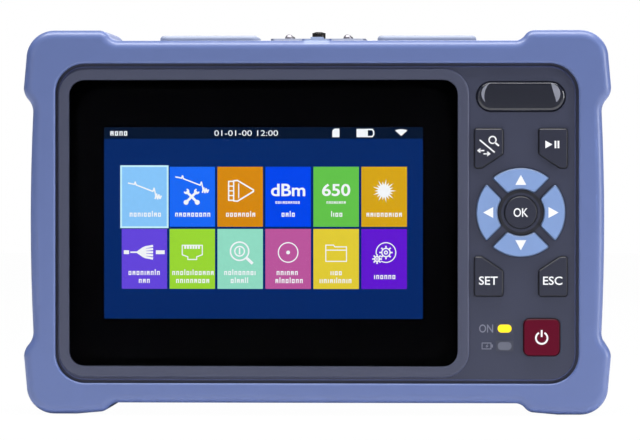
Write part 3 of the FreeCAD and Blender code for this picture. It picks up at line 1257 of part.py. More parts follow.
def make_battery_door():
    door = slab(-DOOR_X, DOOR_X, DOOR_LOW, DOOR_HIGH, DOOR_R - DOOR_FIT, DOOR_INNER, RECESS_Y)
    for x in (-DOOR_SCREW_X, DOOR_SCREW_X):
        door = door.cut(rod_y(x, DOOR_SCREW_Z, SMALL_SCREW_R + SCREW_FIT, DOOR_INNER - CUT, RECESS_Y + CUT))
        door = door.cut(rod_y(x, DOOR_SCREW_Z, SMALL_HEAD_R + DOOR_HEAD_GAP, RECESS_Y - SMALL_HEAD_HIGH,
                              RECESS_Y + CUT))
    return door


def make_battery_pack():
    pack = slab(-BATTERY_X, BATTERY_X, BATTERY_LOW, BATTERY_HIGH, BATTERY_R, BATTERY_FRONT, BATTERY_BACK)
    return pack.makeChamfer(BATTERY_EDGE, edges_at_y(pack, BATTERY_BACK))


def make_battery_contacts():
    """Spring block between the top of the pack and the top wall of its bay."""
    high = BATTERY_HIGH + BATTERY_GAP + CONTACT_HEIGHT
    foot = BATTERY_HIGH + CONTACT_TAB_HIGH
    middle = (BATTERY_FRONT + BATTERY_BACK) / 2
    body = block(-CONTACT_BLOCK / 2, CONTACT_BLOCK / 2, middle - CONTACT_DEPTH / 2, middle + CONTACT_DEPTH / 2,
                 foot, high)
    for i in range(CONTACTS):
        x = (i - (CONTACTS - 1) / 2) * CONTACT_BLOCK / CONTACTS
        body = body.fuse(block(x - CONTACT_TAB / 2, x + CONTACT_TAB / 2, middle - CONTACT_TAB_DEPTH / 2,
                               middle + CONTACT_TAB_DEPTH / 2, BATTERY_HIGH, foot))
    return body


def make_speaker():
    body = rod_y(SPEAKER_X, SPEAKER_Z, SPEAKER_R, BACK_INNER - SPEAKER_THICK, BACK_INNER)
    return body.cut(rod_y(SPEAKER_X, SPEAKER_Z, SPEAKER_R - SPEAKER_RIM, BACK_INNER - SPEAKER_DISH,
                          BACK_INNER + CUT))


# ---- All the pieces ----

write("bumper", make_bumper())
write("front_housing", make_front_housing())
write("port_panel", make_port_panel())
write("rear_housing", make_rear_housing())
write("housing_seal", make_housing_seal())
write("case_screws", Part.makeCompound([
    screw_y(x, z, CASE_SCREW_R, CASE_SCREW_LENGTH, CASE_HEAD_R, CASE_HEAD_HIGH, SPLIT_Y + CASE_SEAT, -1)
    for x, z in case_screw_places()]))

write("cover_glass", make_cover_glass())
write("glass_adhesive", make_glass_adhesive())
write("lcd_panel", make_lcd_panel())
write("lcd_bracket", make_lcd_bracket())
write("bracket_screws", screw_group(bracket_screw_places(), BRACKET_BACK,
                                    BRACKET_BACK - bracket_hole_y() - SCREW_END_GAP))
write("display_cable", make_display_cable())

for key in KEYS:
    write("key_%s" % key, make_key(key))
write("power_light_pipe", make_light_pipe(LIGHT_ON_Z))
write("charge_light_pipe", make_light_pipe(LIGHT_CHARGE_Z))
write("keypad_mat", make_keypad_mat())
write("keypad_board", make_keypad_board())
write("keypad_screws", screw_group(keyboard_bosses(), KEYBOARD_BACK,
                                   KEYBOARD_BACK - PANEL_BACK - SCREW_END_GAP))
write("name_badge", make_name_badge())

write("main_board", make_main_board())
write("board_screws", screw_group(standoffs(), MAIN_BACK, SMALL_SCREW_LENGTH))
write("optical_module", make_optical_module())
write("fibre_pigtail", make_fibre_pigtail())
write("adapter_plate", make_adapter_plate())
write("plate_screws", make_plate_screws())
write("otdr_adapter", make_otdr_adapter())
write("meter_port", make_side_port(-1))
write("locator_port", make_side_port(1))
write("otdr_cap", make_cap(0, OTDR_Y, THREAD_R, KNOB_R, KNOB_HIGH))
write("meter_cap", make_cap(-SIDE_PORT_X, SIDE_PORT_Y, SIDE_BARREL_R, NUB_R, NUB_HIGH))
write("locator_cap", make_cap(SIDE_PORT_X, SIDE_PORT_Y, SIDE_BARREL_R, NUB_R, NUB_HIGH))

write("lan_jack_left", make_lan_jack(lan_centres()[0]))
write("lan_jack_right", make_lan_jack(lan_centres()[1]))
write("usb_a_jack", make_usb_a_jack())
write("micro_usb_jack", make_micro_usb_jack())
write("dc_jack", make_dc_jack())
write("left_flap", make_flap(-PORT_ROW_X))
write("right_flap", make_flap(PORT_ROW_X))
write("flap_pins", make_flap_pins())

write("kickstand", make_kickstand())
write("stand_foot", make_stand_foot())
write("battery_door", make_battery_door())
write("door_screws", screw_group([(side * DOOR_SCREW_X, DOOR_SCREW_Z) for side in (-1, 1)],
                                 RECESS_Y - SMALL_HEAD_HIGH, SMALL_SCREW_LENGTH - SCREW_END_GAP))
write("battery_pack", make_battery_pack())
write("battery_contacts", make_battery_contacts())
write("speaker", make_speaker())
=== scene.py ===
import math
import random

import bmesh
import bpy
from mathutils import Matrix, Vector


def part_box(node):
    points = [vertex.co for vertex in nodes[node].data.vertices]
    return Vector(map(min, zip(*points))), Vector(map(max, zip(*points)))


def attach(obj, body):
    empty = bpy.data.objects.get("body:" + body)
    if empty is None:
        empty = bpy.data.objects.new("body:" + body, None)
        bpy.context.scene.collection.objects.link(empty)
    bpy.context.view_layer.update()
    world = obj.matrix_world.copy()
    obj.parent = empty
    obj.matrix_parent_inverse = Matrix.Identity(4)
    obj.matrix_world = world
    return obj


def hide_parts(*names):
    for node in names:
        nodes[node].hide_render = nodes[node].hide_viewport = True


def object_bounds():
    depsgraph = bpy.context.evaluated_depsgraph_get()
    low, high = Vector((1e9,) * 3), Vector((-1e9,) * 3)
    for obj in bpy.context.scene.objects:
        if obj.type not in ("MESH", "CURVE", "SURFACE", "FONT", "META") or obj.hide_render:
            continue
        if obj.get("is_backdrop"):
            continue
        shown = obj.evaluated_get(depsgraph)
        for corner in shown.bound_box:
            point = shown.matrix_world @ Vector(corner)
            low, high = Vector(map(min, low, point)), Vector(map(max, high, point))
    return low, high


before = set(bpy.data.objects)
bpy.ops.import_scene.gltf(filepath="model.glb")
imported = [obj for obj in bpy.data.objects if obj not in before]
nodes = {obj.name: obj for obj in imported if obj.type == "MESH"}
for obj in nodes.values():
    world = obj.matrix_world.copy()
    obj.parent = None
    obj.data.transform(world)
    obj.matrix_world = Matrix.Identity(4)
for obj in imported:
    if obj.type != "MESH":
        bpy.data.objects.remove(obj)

cad_low, cad_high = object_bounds()
scene = bpy.context.scene
scene.view_settings.view_transform = "Standard"
MM = 0.001


# ---- Studio ----
# A pale table in soft light. A strip overhead draws the bright line along the top of the bumper, a tall
# lamp on the right and a wide one behind light its flanks, and three weak ones fill the front.

CAMERA_YAW = 2.4
CAMERA_RISE = 0.6
CAMERA_DISTANCE = 1.472    # to the front of the bumper
CAMERA_LENS = 245.0
AIM = Vector((1.25 * MM, cad_low.y, 65.8 * MM))


def linear(hex_colour):
    """sRGB hex to the linear colour that the shaders take."""
    out = []
    for i in (1, 3, 5):
        c = int(hex_colour[i:i + 2], 16) / 255
        out.append(c / 12.92 if c <= 0.04045 else ((c + 0.055) / 1.055) ** 2.4)
    return (*out, 1.0)


def add(tree, kind, inputs=None, **settings):
    """Adds one node with its settings, its values and its links. A node as a value gives its first output."""
    node = tree.nodes.new(kind)
    for name, value in settings.items():
        setattr(node, name, value)
    for name, value in (inputs or {}).items():
        if isinstance(value, bpy.types.Node):
            value = value.outputs[0]
        if isinstance(value, bpy.types.NodeSocket):
            tree.links.new(value, node.inputs[name])
        else:
            node.inputs[name].default_value = value
    return node


def empty_tree(owner):
    owner.use_nodes = True
    owner.node_tree.nodes.clear()
    return owner.node_tree


yaw, rise = math.radians(CAMERA_YAW), math.radians(CAMERA_RISE)
back = Vector((math.sin(yaw) * math.cos(rise), -math.cos(yaw) * math.cos(rise), math.sin(rise)))
camera_data = bpy.data.cameras.new("camera")
camera_data.lens = CAMERA_LENS
camera_data.sensor_width = 36.0
camera_data.clip_start = 0.05
camera = bpy.data.objects.new("camera", camera_data)
camera.location = AIM + back * CAMERA_DISTANCE
camera.rotation_euler = (-back).to_track_quat("-Z", "Y").to_euler()
scene.collection.objects.link(camera)
scene.camera = camera


LAMP_AIM = Vector((0, 0, 65 * MM))         # the middle of the case


def lamp(name, place, size, power):
    """A soft lamp in metres and watts, which faces the case and isn't seen itself."""
    data = bpy.data.lights.new(name, "AREA")
    data.shape = "RECTANGLE"
    data.size, data.size_y = size
    data.energy = power
    thing = bpy.data.objects.new(name, data)
    thing.location = place
    thing.rotation_euler = (LAMP_AIM - Vector(place)).to_track_quat("-Z", "Y").to_euler()
    thing.visible_camera = False
    scene.collection.objects.link(thing)


lamp("key_lamp", (0.45, -1.15, 1.05), (0.6, 0.6), 0.9)
lamp("top_lamp", (0.0, -0.11, 0.75), (0.9, 0.24), 8.6)
lamp("low_lamp", (0.05, -0.75, 0.06), (0.9, 0.10), 0.12)
lamp("fill_lamp", (-0.85, -1.35, 0.35), (0.6, 0.6), 1.6)
lamp("side_lamp", (1.0, -0.34, 0.22), (0.2, 0.6), 6.0)
lamp("back_lamp", (0.3, 1.1, 0.7), (0.9, 0.5), 4.5)

# The camera sees white, through the glass too. Matt surfaces get the light of a grey room, and shiny
# ones mirror a dim one, so that the dark ones stay dark.
WHITE = (1, 1, 1, 1)
ROOM_LIGHT = (0.155, 0.16, 0.175, 1)
ROOM_MIRRORED = (0.13, 0.135, 0.16, 1)
world = bpy.data.worlds.new("studio")
scene.world = world
sky = empty_tree(world)
ray = add(sky, "ShaderNodeLightPath").outputs
seen = add(sky, "ShaderNodeMath", {0: ray["Is Camera Ray"], 1: ray["Is Transmission Ray"]},
           operation="MAXIMUM")
room = add(sky, "ShaderNodeMixRGB", {"Fac": ray["Is Glossy Ray"], "Color1": ROOM_LIGHT,
                                     "Color2": ROOM_MIRRORED})
shown = add(sky, "ShaderNodeMixRGB", {"Fac": seen, "Color1": room, "Color2": WHITE})
backdrop = add(sky, "ShaderNodeBackground", {"Color": shown, "Strength": 1.0})
add(sky, "ShaderNodeOutputWorld", {"Surface": backdrop})

REACH = 3.0                # half of the table, in metres
TABLE_Z = -0.4 * MM        # just under the feet
floor_mesh = bpy.data.meshes.new("floor")
floor_mesh.from_pydata([(-REACH, -REACH, TABLE_Z), (REACH, -REACH, TABLE_Z), (REACH, REACH, TABLE_Z),
                        (-REACH, REACH, TABLE_Z)], [], [(0, 1, 2, 3)])
floor = bpy.data.objects.new("floor", floor_mesh)
scene.collection.objects.link(floor)
# Matt paper. The camera sees nearly all of it as plain white, and the rest takes the object's shadow.
PAPER_WHITE = 0.985
paper = bpy.data.materials.new("pale_paper")
sheet = empty_tree(paper)
eye = add(sheet, "ShaderNodeLightPath").outputs["Is Camera Ray"]
matt = add(sheet, "ShaderNodeBsdfDiffuse", {"Color": linear("#f4f4f4")})
plain = add(sheet, "ShaderNodeEmission", {"Color": WHITE, "Strength": 1.0})
share = add(sheet, "ShaderNodeMath", {0: eye, 1: PAPER_WHITE}, operation="MULTIPLY")
mixed = add(sheet, "ShaderNodeMixShader", {0: share, 1: matt, 2: plain})
add(sheet, "ShaderNodeOutputMaterial", {"Surface": mixed})
floor_mesh.materials.append(paper)
floor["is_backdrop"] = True


# ---- Bumper ----
# A thick sleeve of soft TPU rubber, moulded blue with a satin skin, that is pulled over the case. The
# covers over the ports are a paler rubber.

def shade(tone, times):
    """A linear colour made lighter or darker."""
    return (*(min(1, c * times) for c in tone[:3]), 1)


def finish(name, colour, roughness, grain, bump, spread=0.04, edge=None, **shader):
    """A solid coloured surface: faint clouding, grain of a real size in mm, and uneven gloss. edge paints
    light:
    it is how many times lighter the rounded edges and flanks of its front and back are painted, a painted
    highlight above 1 and painted shade below 1."""
    material = bpy.data.materials.new(name)
    tree = empty_tree(material)
    spot = add(tree, "ShaderNodeTexCoord")
    place = spot.outputs["Object"]
    cloud = add(tree, "ShaderNodeTexNoise", {"Vector": place, "Scale": 1 / (25 * MM), "Detail": 3.0})
    grains = add(tree, "ShaderNodeTexNoise", {"Vector": place, "Scale": 1 / (grain * MM), "Detail": 2.0})
    tone = linear(colour)
    body = add(tree, "ShaderNodeMixRGB", {"Fac": cloud.outputs["Fac"], "Color1": shade(tone, 1 - spread),
                                         "Color2": shade(tone, 1 + spread)})
    # Painted light: faces turned away from the front and back take the edge colour.
    if edge:
        lean = add(tree, "ShaderNodeSeparateXYZ", {0: spot.outputs["Normal"]})
        level = add(tree, "ShaderNodeMath", {0: lean.outputs["Y"]}, operation="ABSOLUTE")
        painted_edge_share = add(tree, "ShaderNodeMapRange", {"Value": level, "From Min": 0.99, "From Max": 0.8})
        body = add(tree, "ShaderNodeMixRGB", {"Fac": painted_edge_share, "Color1": body, "Color2": shade(tone, edge)})
    gloss = add(tree, "ShaderNodeMapRange", {"Value": grains.outputs["Fac"], "From Min": 0.3, "From Max": 0.7,
                                            "To Min": roughness - 0.04, "To Max": roughness + 0.04})
    relief = add(tree, "ShaderNodeBump", {"Height": grains.outputs["Fac"], "Strength": bump,
                                         "Distance": grain * MM * 0.3})
    settings = {"Base Color": body, "Roughness": gloss, "Normal": relief}
    settings.update(shader)
    skin = add(tree, "ShaderNodeBsdfPrincipled", settings)
    add(tree, "ShaderNodeOutputMaterial", {"Surface": skin})
    return material


def painted_light_tone(material, colour, *fades):
    """Paints light on a finish: turns it to another colour over fades, each an axis with a start and an end
    in mm. X is taken on both sides of the middle."""
    tree = material.node_tree
    spot = add(tree, "ShaderNodeSeparateXYZ", {0: add(tree, "ShaderNodeTexCoord").outputs["Object"]})
    share = 1.0
    for axis, start, end in fades:
        value = spot.outputs[axis]
        if axis == "X":
            value = add(tree, "ShaderNodeMath", {0: value}, operation="ABSOLUTE")
        fade = add(tree, "ShaderNodeMapRange", {"Value": value, "From Min": start * MM, "From Max": end * MM},
                   interpolation_type="SMOOTHSTEP")
        share = add(tree, "ShaderNodeMath", {0: fade, 1: share}, operation="MULTIPLY")
    skin = next(n for n in tree.nodes if n.type == "BSDF_PRINCIPLED")
    first = skin.inputs["Base Color"].links[0].from_socket
    mixed = add(tree, "ShaderNodeMixRGB", {"Fac": share, "Color1": first, "Color2": linear(colour)})
    tree.links.new(mixed.outputs[0], skin.inputs["Base Color"])


def dress(material, *names):
    """Gives CAD nodes their material."""
    for name in names:
        slots = nodes[name].data.materials
        slots.clear()
        slots.append(material)


# Soft TPU: satin, with the fine spark-eroded grain of its mould.
bumper_rubber = finish("soft_tpu_rubber", "#596ba1", 0.5, 0.35, 0.10, spread=0.03,
                       **{"IOR": 1.5, "Coat Weight": 0.5, "Coat Roughness": 0.3})
dress(bumper_rubber, "bumper")
# The hump in front of the optical port's cap is painted pale: a painted highlight on its rounded front.
painted_light_tone(bumper_rubber, "#a9b6d2", ("X", 4.9, 3.7), ("Y", -20.0, -23.5), ("Z", 124.8, 127.0))
# The covers are a paler mix, chalky where it has been handled.
cover_rubber = finish("pale_cover_rubber", "#a3abbe", 0.55, 0.35, 0.10, spread=0.05, **{"IOR": 1.5})
dress(cover_rubber, "left_flap", "right_flap")


# ---- Case shells ----
# Two ABS shells, injection moulded in dark grey with a blue cast and screwed together on a silicone seal.
# The port panel, the stand and the battery door are moulded of the same.

# Textured ABS: matt. Its rounded edges and flanks are painted paler, a painted highlight.
shell_abs = finish("textured_abs", "#31354b", 0.48, 0.25, 0.15, edge=3.2, **{"IOR": 1.5})
# The raised surround of the glass is painted lighter than the panel beside it: painted light on its sloped
# face.
painted_light_tone(shell_abs, "#3f4359", ("Y", -26.8, -27.2))
dress(shell_abs, "front_housing", "rear_housing", "port_panel", "kickstand", "battery_door")
# Moulded silicone: dull and faintly cloudy. The mat under the keys is a black one.
seal_silicone = finish("grey_silicone", "#8a8c90", 0.6, 0.4, 0.1)
dress(seal_silicone, "housing_seal", "stand_foot")
dress(finish("black_silicone", "#15161b", 0.65, 0.4, 0.1), "keypad_mat")


# ---- Screws ----
# Steel screws with pan heads and cross recesses, cold headed and nickel plated. They hold the shells
# together, and fix the boards, the display's bracket and the battery door.

def metal(name, colour, roughness, line):
    """Turned or ground metal: fine lines of a real spacing in mm across a clean metal."""
    material = bpy.data.materials.new(name)
    tree = empty_tree(material)
    place = add(tree, "ShaderNodeTexCoord").outputs["Object"]
    drawn = add(tree, "ShaderNodeMapping", {"Vector": place, "Scale": (0.15, 1.0, 1.0)})
    noise = add(tree, "ShaderNodeTexNoise", {"Vector": drawn, "Scale": 1 / (line * MM), "Detail": 3.0})
    lines = noise.outputs["Fac"]
    tone = linear(colour)
    body = add(tree, "ShaderNodeMixRGB", {"Fac": lines, "Color1": shade(tone, 0.9), "Color2": tone})
    gloss = add(tree, "ShaderNodeMapRange", {"Value": lines, "From Min": 0.3, "From Max": 0.7,
                                            "To Min": roughness - 0.05, "To Max": roughness + 0.05})
    relief = add(tree, "ShaderNodeBump", {"Height": lines, "Strength": 0.08, "Distance": line * MM * 0.2})
    skin = add(tree, "ShaderNodeBsdfPrincipled", {"Base Color": body, "Roughness": gloss, "Normal": relief,
                                                  "Metallic": 1.0})
    add(tree, "ShaderNodeOutputMaterial", {"Surface": skin})
    return material


def place_piece(name, mesh, material, body):
    """Makes a mesh a piece of its own, which rides on a body."""
    mesh.materials.clear()
    mesh.materials.append(material)
    piece = bpy.data.objects.new(name, mesh)
    scene.collection.objects.link(piece)
    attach(piece, body)
    return piece


def geometry_tree(name, **sizes):
    """An empty node tree for a mesh, whose named sizes are inputs in metres, or a count if whole."""
    tree = bpy.data.node_groups.new(name, "GeometryNodeTree")
    tree.interface.new_socket("Points", in_out="INPUT", socket_type="NodeSocketGeometry")
    for label, value in sizes.items():
        kind = "NodeSocketInt" if isinstance(value, int) else "NodeSocketFloat"
        socket = tree.interface.new_socket(label, in_out="INPUT", socket_type=kind)
        socket.default_value = value
    tree.interface.new_socket("Finish", in_out="INPUT", socket_type="NodeSocketMaterial")
    tree.interface.new_socket("Mesh", in_out="OUTPUT", socket_type="NodeSocketGeometry")
    return tree, add(tree, "NodeGroupInput").outputs


def end_tree(tree, given, instances):
    """Makes the instances one mesh in the tree's finish."""
    real = add(tree, "GeometryNodeRealizeInstances", {"Geometry": instances})
    done = add(tree, "GeometryNodeSetMaterial", {"Geometry": real, "Material": given["Finish"]})
    add(tree, "NodeGroupOutput", {"Mesh": done})
    return tree


def repeat(name, tree, points, material, body, slot, **sizes):
    """Runs a tree on points in mm and keeps the mesh that it makes."""
    seeds = bpy.data.meshes.new(name)
    seeds.from_pydata([Vector(p) * MM for p in points], [], [])
    maker = bpy.data.objects.new(name, seeds)
    scene.collection.objects.link(maker)
    modifier = maker.modifiers.new(name, "NODES")
    modifier.node_group = tree
    for item in tree.interface.items_tree:
        if item.in_out == "INPUT" and item.name in sizes:
            modifier[item.identifier] = sizes[item.name]
        if item.in_out == "INPUT" and item.name == "Finish":
            modifier[item.identifier] = material
    bpy.context.view_layer.update()
    mesh = bpy.data.meshes.new_from_object(maker.evaluated_get(bpy.context.evaluated_depsgraph_get()))
    bpy.data.objects.remove(maker)
    return place_piece(name, mesh, material, body)


def screw_tree():
    """A pan head screw with a cross recess: its head ends at the point and faces +Y."""
    taper = 0.78           # the head's top against its foot
    cross = 0.27           # the width of a slot of the recess against its length
    cutter = 1.1           # the cutter's height against the head's: its lower half cuts
    bite = 0.7             # how far down in the head the shank begins
    tree, given = geometry_tree("pan_head_screw", HeadRadius=1.9 * MM, HeadHeight=1.2 * MM,
                                ShankRadius=1.0 * MM, Length=5.0 * MM, Recess=2.0 * MM)
    top = add(tree, "ShaderNodeMath", {0: given["HeadRadius"], 1: taper}, operation="MULTIPLY")
    head = add(tree, "GeometryNodeMeshCone", {"Vertices": 40, "Radius Bottom": given["HeadRadius"],
                                              "Radius Top": top, "Depth": given["HeadHeight"]})
    down = add(tree, "ShaderNodeMath", {0: given["HeadHeight"], 1: -1.0}, operation="MULTIPLY")
    seat = add(tree, "ShaderNodeCombineXYZ", {"Z": down})
    seated = add(tree, "GeometryNodeTransform", {"Geometry": head, "Translation": seat})
    shank = add(tree, "GeometryNodeMeshCylinder", {"Vertices": 24, "Radius": given["ShankRadius"],
                                                   "Depth": given["Length"]})
    half = add(tree, "ShaderNodeMath", {0: given["Length"], 1: -0.5}, operation="MULTIPLY")
    start = add(tree, "ShaderNodeMath", {0: given["HeadHeight"], 1: -bite}, operation="MULTIPLY")
    sunk = add(tree, "ShaderNodeMath", {0: half, 1: start}, operation="ADD")
    depth = add(tree, "ShaderNodeCombineXYZ", {"Z": sunk})
    lowered = add(tree, "GeometryNodeTransform", {"Geometry": shank, "Translation": depth})
    solid = add(tree, "GeometryNodeMeshBoolean", operation="UNION")
    for part in (seated, lowered):
        tree.links.new(part.outputs[0], solid.inputs["Mesh 2"])
    wide = add(tree, "ShaderNodeMath", {0: given["Recess"], 1: cross}, operation="MULTIPLY")
    tall = add(tree, "ShaderNodeMath", {0: given["HeadHeight"], 1: cutter}, operation="MULTIPLY")
    cut = add(tree, "GeometryNodeMeshBoolean", {"Mesh 1": solid}, operation="DIFFERENCE")
    for x, y in ((given["Recess"], wide), (wide, given["Recess"])):
        size = add(tree, "ShaderNodeCombineXYZ", {"X": x, "Y": y, "Z": tall})
        slot = add(tree, "GeometryNodeMeshCube", {"Size": size})
        tree.links.new(slot.outputs[0], cut.inputs["Mesh 2"])
    spin = add(tree, "FunctionNodeRandomValue", {2: 0.0, 3: math.tau, "Seed": 5}, data_type="FLOAT")
    turned = add(tree, "ShaderNodeCombineXYZ", {"X": -math.pi / 2, "Y": spin.outputs[1]})
    spread = add(tree, "GeometryNodeInstanceOnPoints", {"Points": given["Points"], "Instance": cut,
                                                        "Rotation": turned})
    return end_tree(tree, given, spread)


def part_boxes(name):
    """The box of each loose part of a CAD node, as its low and high corner in mm."""
    mesh = bmesh.new()
    mesh.from_mesh(nodes[name].data)
    bmesh.ops.remove_doubles(mesh, verts=mesh.verts, dist=0.001 * MM)
    left, boxes = set(mesh.verts), []
    while left:
        group, edge = set(), [left.pop()]
        while edge:
            vert = edge.pop()
            group.add(vert)
            for link in vert.link_edges:
                other = link.other_vert(vert)
                if other in left:
                    left.discard(other)
                    edge.append(other)
        corners = list(zip(*(v.co / MM for v in group)))
        boxes.append((Vector([min(c) for c in corners]), Vector([max(c) for c in corners])))
    mesh.free()
    return sorted(boxes, key=lambda b: tuple(b[0]))


# Nickel plate on steel: a warm grey, satin from fine lines.
screw_nickel = metal("nickel_plated_steel", "#aba7ad", 0.42, 0.2)
dress(screw_nickel, "plate_screws", "flap_pins")
# Head height, shank radius and recess: the screws of the case are the large ones.
LARGE, SMALL = (2.0, 1.5, 3.0), (1.2, 1.0, 2.2)
pan_head = screw_tree()
for group in ("case_screws", "door_screws", "board_screws", "bracket_screws", "keypad_screws"):
    head_high, shank, recess = LARGE if group == "case_screws" else SMALL
    boxes = part_boxes(group)
    tops = [((low.x + high.x) / 2, high.y, (low.z + high.z) / 2) for low, high in boxes]
    low, high = boxes[0]
    made = repeat(group + "_detailed", pan_head, tops, screw_nickel, "case", "screw_steel",
                  HeadRadius=(high.x - low.x) / 2 * MM, HeadHeight=head_high * MM, ShankRadius=shank * MM,
                  Length=(high.y - low.y - head_high) * MM, Recess=recess * MM)
    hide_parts(group)


# ---- Display ----
# A cover glass with a black printed border, bonded over a 5-inch colour panel. The panel shows a page of
# function tiles under a status bar, whose words are short runs of blocks.

PAGE_WIDTH, PAGE_HEIGHT = 108.0, 64.8
LAYER = 0.02               # each printed layer lies this far in front of the last
lcd_low, lcd_high = (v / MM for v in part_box("lcd_panel"))
glass_low, glass_high = (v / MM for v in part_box("cover_glass"))
page_x = (lcd_low.x + lcd_high.x) / 2
page_z = (lcd_low.z + lcd_high.z) / 2
page_y = lcd_low.y - LAYER


class Sheet:
    """Thin flat shapes that face the user, gathered into one mesh. Sizes in mm."""

    def __init__(self, y, thick):
        self.mesh = bmesh.new()
        self.front, self.rear = y - thick, y

    def shape(self, outline, dx=0.0, dz=0.0):
        """One closed outline, moved by dx and dz."""
        front, rear = ([self.mesh.verts.new(((x + dx) * MM, y * MM, (z + dz) * MM)) for x, z in outline]
                       for y in (self.front, self.rear))
        self.mesh.faces.new(front)
        self.mesh.faces.new(rear[::-1])
        count = len(outline)
        for i in range(count):
            j = (i + 1) % count
            self.mesh.faces.new((front[j], front[i], rear[i], rear[j]))

    def band(self, outer, inner):
        """The flat frame between two outlines that have the same number of corners."""
        corners = [[self.mesh.verts.new((x * MM, y * MM, z * MM)) for x, z in outline]
                   for y in (self.front, self.rear) for outline in (outer, inner)]
        count = len(outer)
        for here, there in ((0, 1), (2, 3), (0, 2), (1, 3)):
            for i in range(count):
                j = (i + 1) % count
                self.mesh.faces.new((corners[here][i], corners[here][j],
                                     corners[there][j], corners[there][i]))

    def ring(self, x, z, outer, inner, start=0.0, end=360.0, steps=40):
        """A ring, or a part of one, as closed four-sided pieces side by side."""
        angles = [math.radians(start + (end - start) * i / steps) for i in range(steps + 1)]
        for a, b in zip(angles, angles[1:]):
            self.shape([(x + r * math.cos(turn), z + r * math.sin(turn))
                        for r, turn in ((outer, b), (inner, b), (inner, a), (outer, a))])

    def stroke(self, points, width, dx=0.0, dz=0.0):
        """A line of even width through the points, a little longer at its ends."""
        for (x0, z0), (x1, z1) in zip(points, points[1:]):
            length = math.hypot(x1 - x0, z1 - z0)
            nx, nz = -(z1 - z0) / length * width / 2, (x1 - x0) / length * width / 2
            ex, ez = (x1 - x0) / length * width / 3, (z1 - z0) / length * width / 3
            self.shape([(x0 - ex - nx, z0 - ez - nz), (x1 + ex - nx, z1 + ez - nz),
                        (x1 + ex + nx, z1 + ez + nz), (x0 - ex + nx, z0 - ez + nz)], dx, dz)

    def finish(self, name, material, body, slot):
        """Closes the sheet and makes it a piece."""
        bmesh.ops.recalc_face_normals(self.mesh, faces=self.mesh.faces)
        mesh = bpy.data.meshes.new(name)
        self.mesh.to_mesh(mesh)
        self.mesh.free()
        return place_piece(name, mesh, material, body)


def rectangle(x0, x1, z0, z1, r=0.0, steps=8):
    """Corners of a rectangle, counter-clockwise as the user sees it, rounded if r is given."""
    if r <= 0:
        return [(x0, z0), (x1, z0), (x1, z1), (x0, z1)]
    points = []
    for cx, cz, start in ((x1 - r, z0 + r, -90), (x1 - r, z1 - r, 0),
                          (x0 + r, z1 - r, 90), (x0 + r, z0 + r, 180)):
        for i in range(steps + 1):
            a = math.radians(start + 90 * i / steps)
            points.append((cx + r * math.cos(a), cz + r * math.sin(a)))
    return points


def disc(x, z, r, steps=32):
    angles = (math.tau * i / steps for i in range(steps))
    return [(x + r * math.cos(a), z + r * math.sin(a)) for a in angles]


def lettering(text, x, z, height, y, thick, bold=0.0, wide=None):
    """Text as a closed mesh with its middle at x, z, as high and, if said, as wide as given in mm."""
    curve = bpy.data.curves.new("lettering", "FONT")
    curve.body = text
    curve.size = 1.0
    curve.offset = bold
    curve.extrude = 0.5
    curve.resolution_u = 4
    writer = bpy.data.objects.new("lettering", curve)
    scene.collection.objects.link(writer)
    bpy.context.view_layer.update()
    mesh = bpy.data.meshes.new_from_object(writer.evaluated_get(bpy.context.evaluated_depsgraph_get()))
    bpy.data.objects.remove(writer)
    bpy.data.curves.remove(curve)
    xs = [v.co.x for v in mesh.vertices]
    ys = [v.co.y for v in mesh.vertices]
    scale = height / (max(ys) - min(ys)) * MM
    middle = Vector(((max(xs) + min(xs)) / 2, (max(ys) + min(ys)) / 2, 0))
    across = wide * MM / (max(xs) - min(xs)) if wide else scale
    grow = Matrix.Diagonal((across, scale, thick * MM, 1))
    turn = Matrix.Rotation(math.radians(90), 4, "X")
    move = Matrix.Translation((x * MM, (y - thick / 2) * MM, z * MM))
    mesh.transform(move @ turn @ grow @ Matrix.Translation(-middle))
    return mesh


def join_into(sheet, mesh):
    """Adds a mesh to a sheet."""
    sheet.mesh.from_mesh(mesh)
    bpy.data.meshes.remove(mesh)


def lit(name, colour):
    """A lit part of the page: its backlight falls off a little towards the foot, with fine clouding."""
    fall, shimmer, cell = 0.06, 0.04, 1.2
    material = bpy.data.materials.new(name)
    tree = empty_tree(material)
    place = add(tree, "ShaderNodeTexCoord").outputs["Object"]
    parts = add(tree, "ShaderNodeSeparateXYZ", {0: place})
    height = add(tree, "ShaderNodeMapRange", {"Value": parts.outputs["Z"],
                                             "From Min": (page_z - PAGE_HEIGHT / 2) * MM,
                                             "From Max": (page_z + PAGE_HEIGHT / 2) * MM,
                                             "To Min": 1 - fall, "To Max": 1.0})
    cells = add(tree, "ShaderNodeTexNoise", {"Vector": place, "Scale": 1 / (cell * MM), "Detail": 1.0})
    clouds = add(tree, "ShaderNodeMapRange", {"Value": cells.outputs["Fac"], "To Min": 1 - shimmer,
                                             "To Max": 1 + shimmer})
    level = add(tree, "ShaderNodeMath", {0: height, 1: clouds}, operation="MULTIPLY")
    tone = add(tree, "ShaderNodeMixRGB", {"Fac": 1.0, "Color1": linear(colour), "Color2": level},
               blend_type="MULTIPLY")
    glow = add(tree, "ShaderNodeEmission", {"Color": tone, "Strength": 1.0})
    add(tree, "ShaderNodeOutputMaterial", {"Surface": glow})
    return material


# Clear soda-lime glass with an anti-glare coat, which is why it mirrors so little.
glass = bpy.data.materials.new("coated_cover_glass")
tree = empty_tree(glass)
place = add(tree, "ShaderNodeTexCoord").outputs["Object"]
smear = add(tree, "ShaderNodeTexNoise", {"Vector": place, "Scale": 1 / (14 * MM), "Detail": 4.0})
haze = add(tree, "ShaderNodeMapRange", {"Value": smear.outputs["Fac"], "From Min": 0.4, "From Max": 0.8,
                                       "To Min": 0.02, "To Max": 0.07})
pane = add(tree, "ShaderNodeBsdfPrincipled", {"Base Color": (1, 1, 1, 1), "Roughness": haze,
                                              "Transmission Weight": 1.0, "IOR": 1.5,
                                              "Specular Tint": (0.02, 0.02, 0.025, 1)})
add(tree, "ShaderNodeOutputMaterial", {"Surface": pane})
dress(glass, "cover_glass")

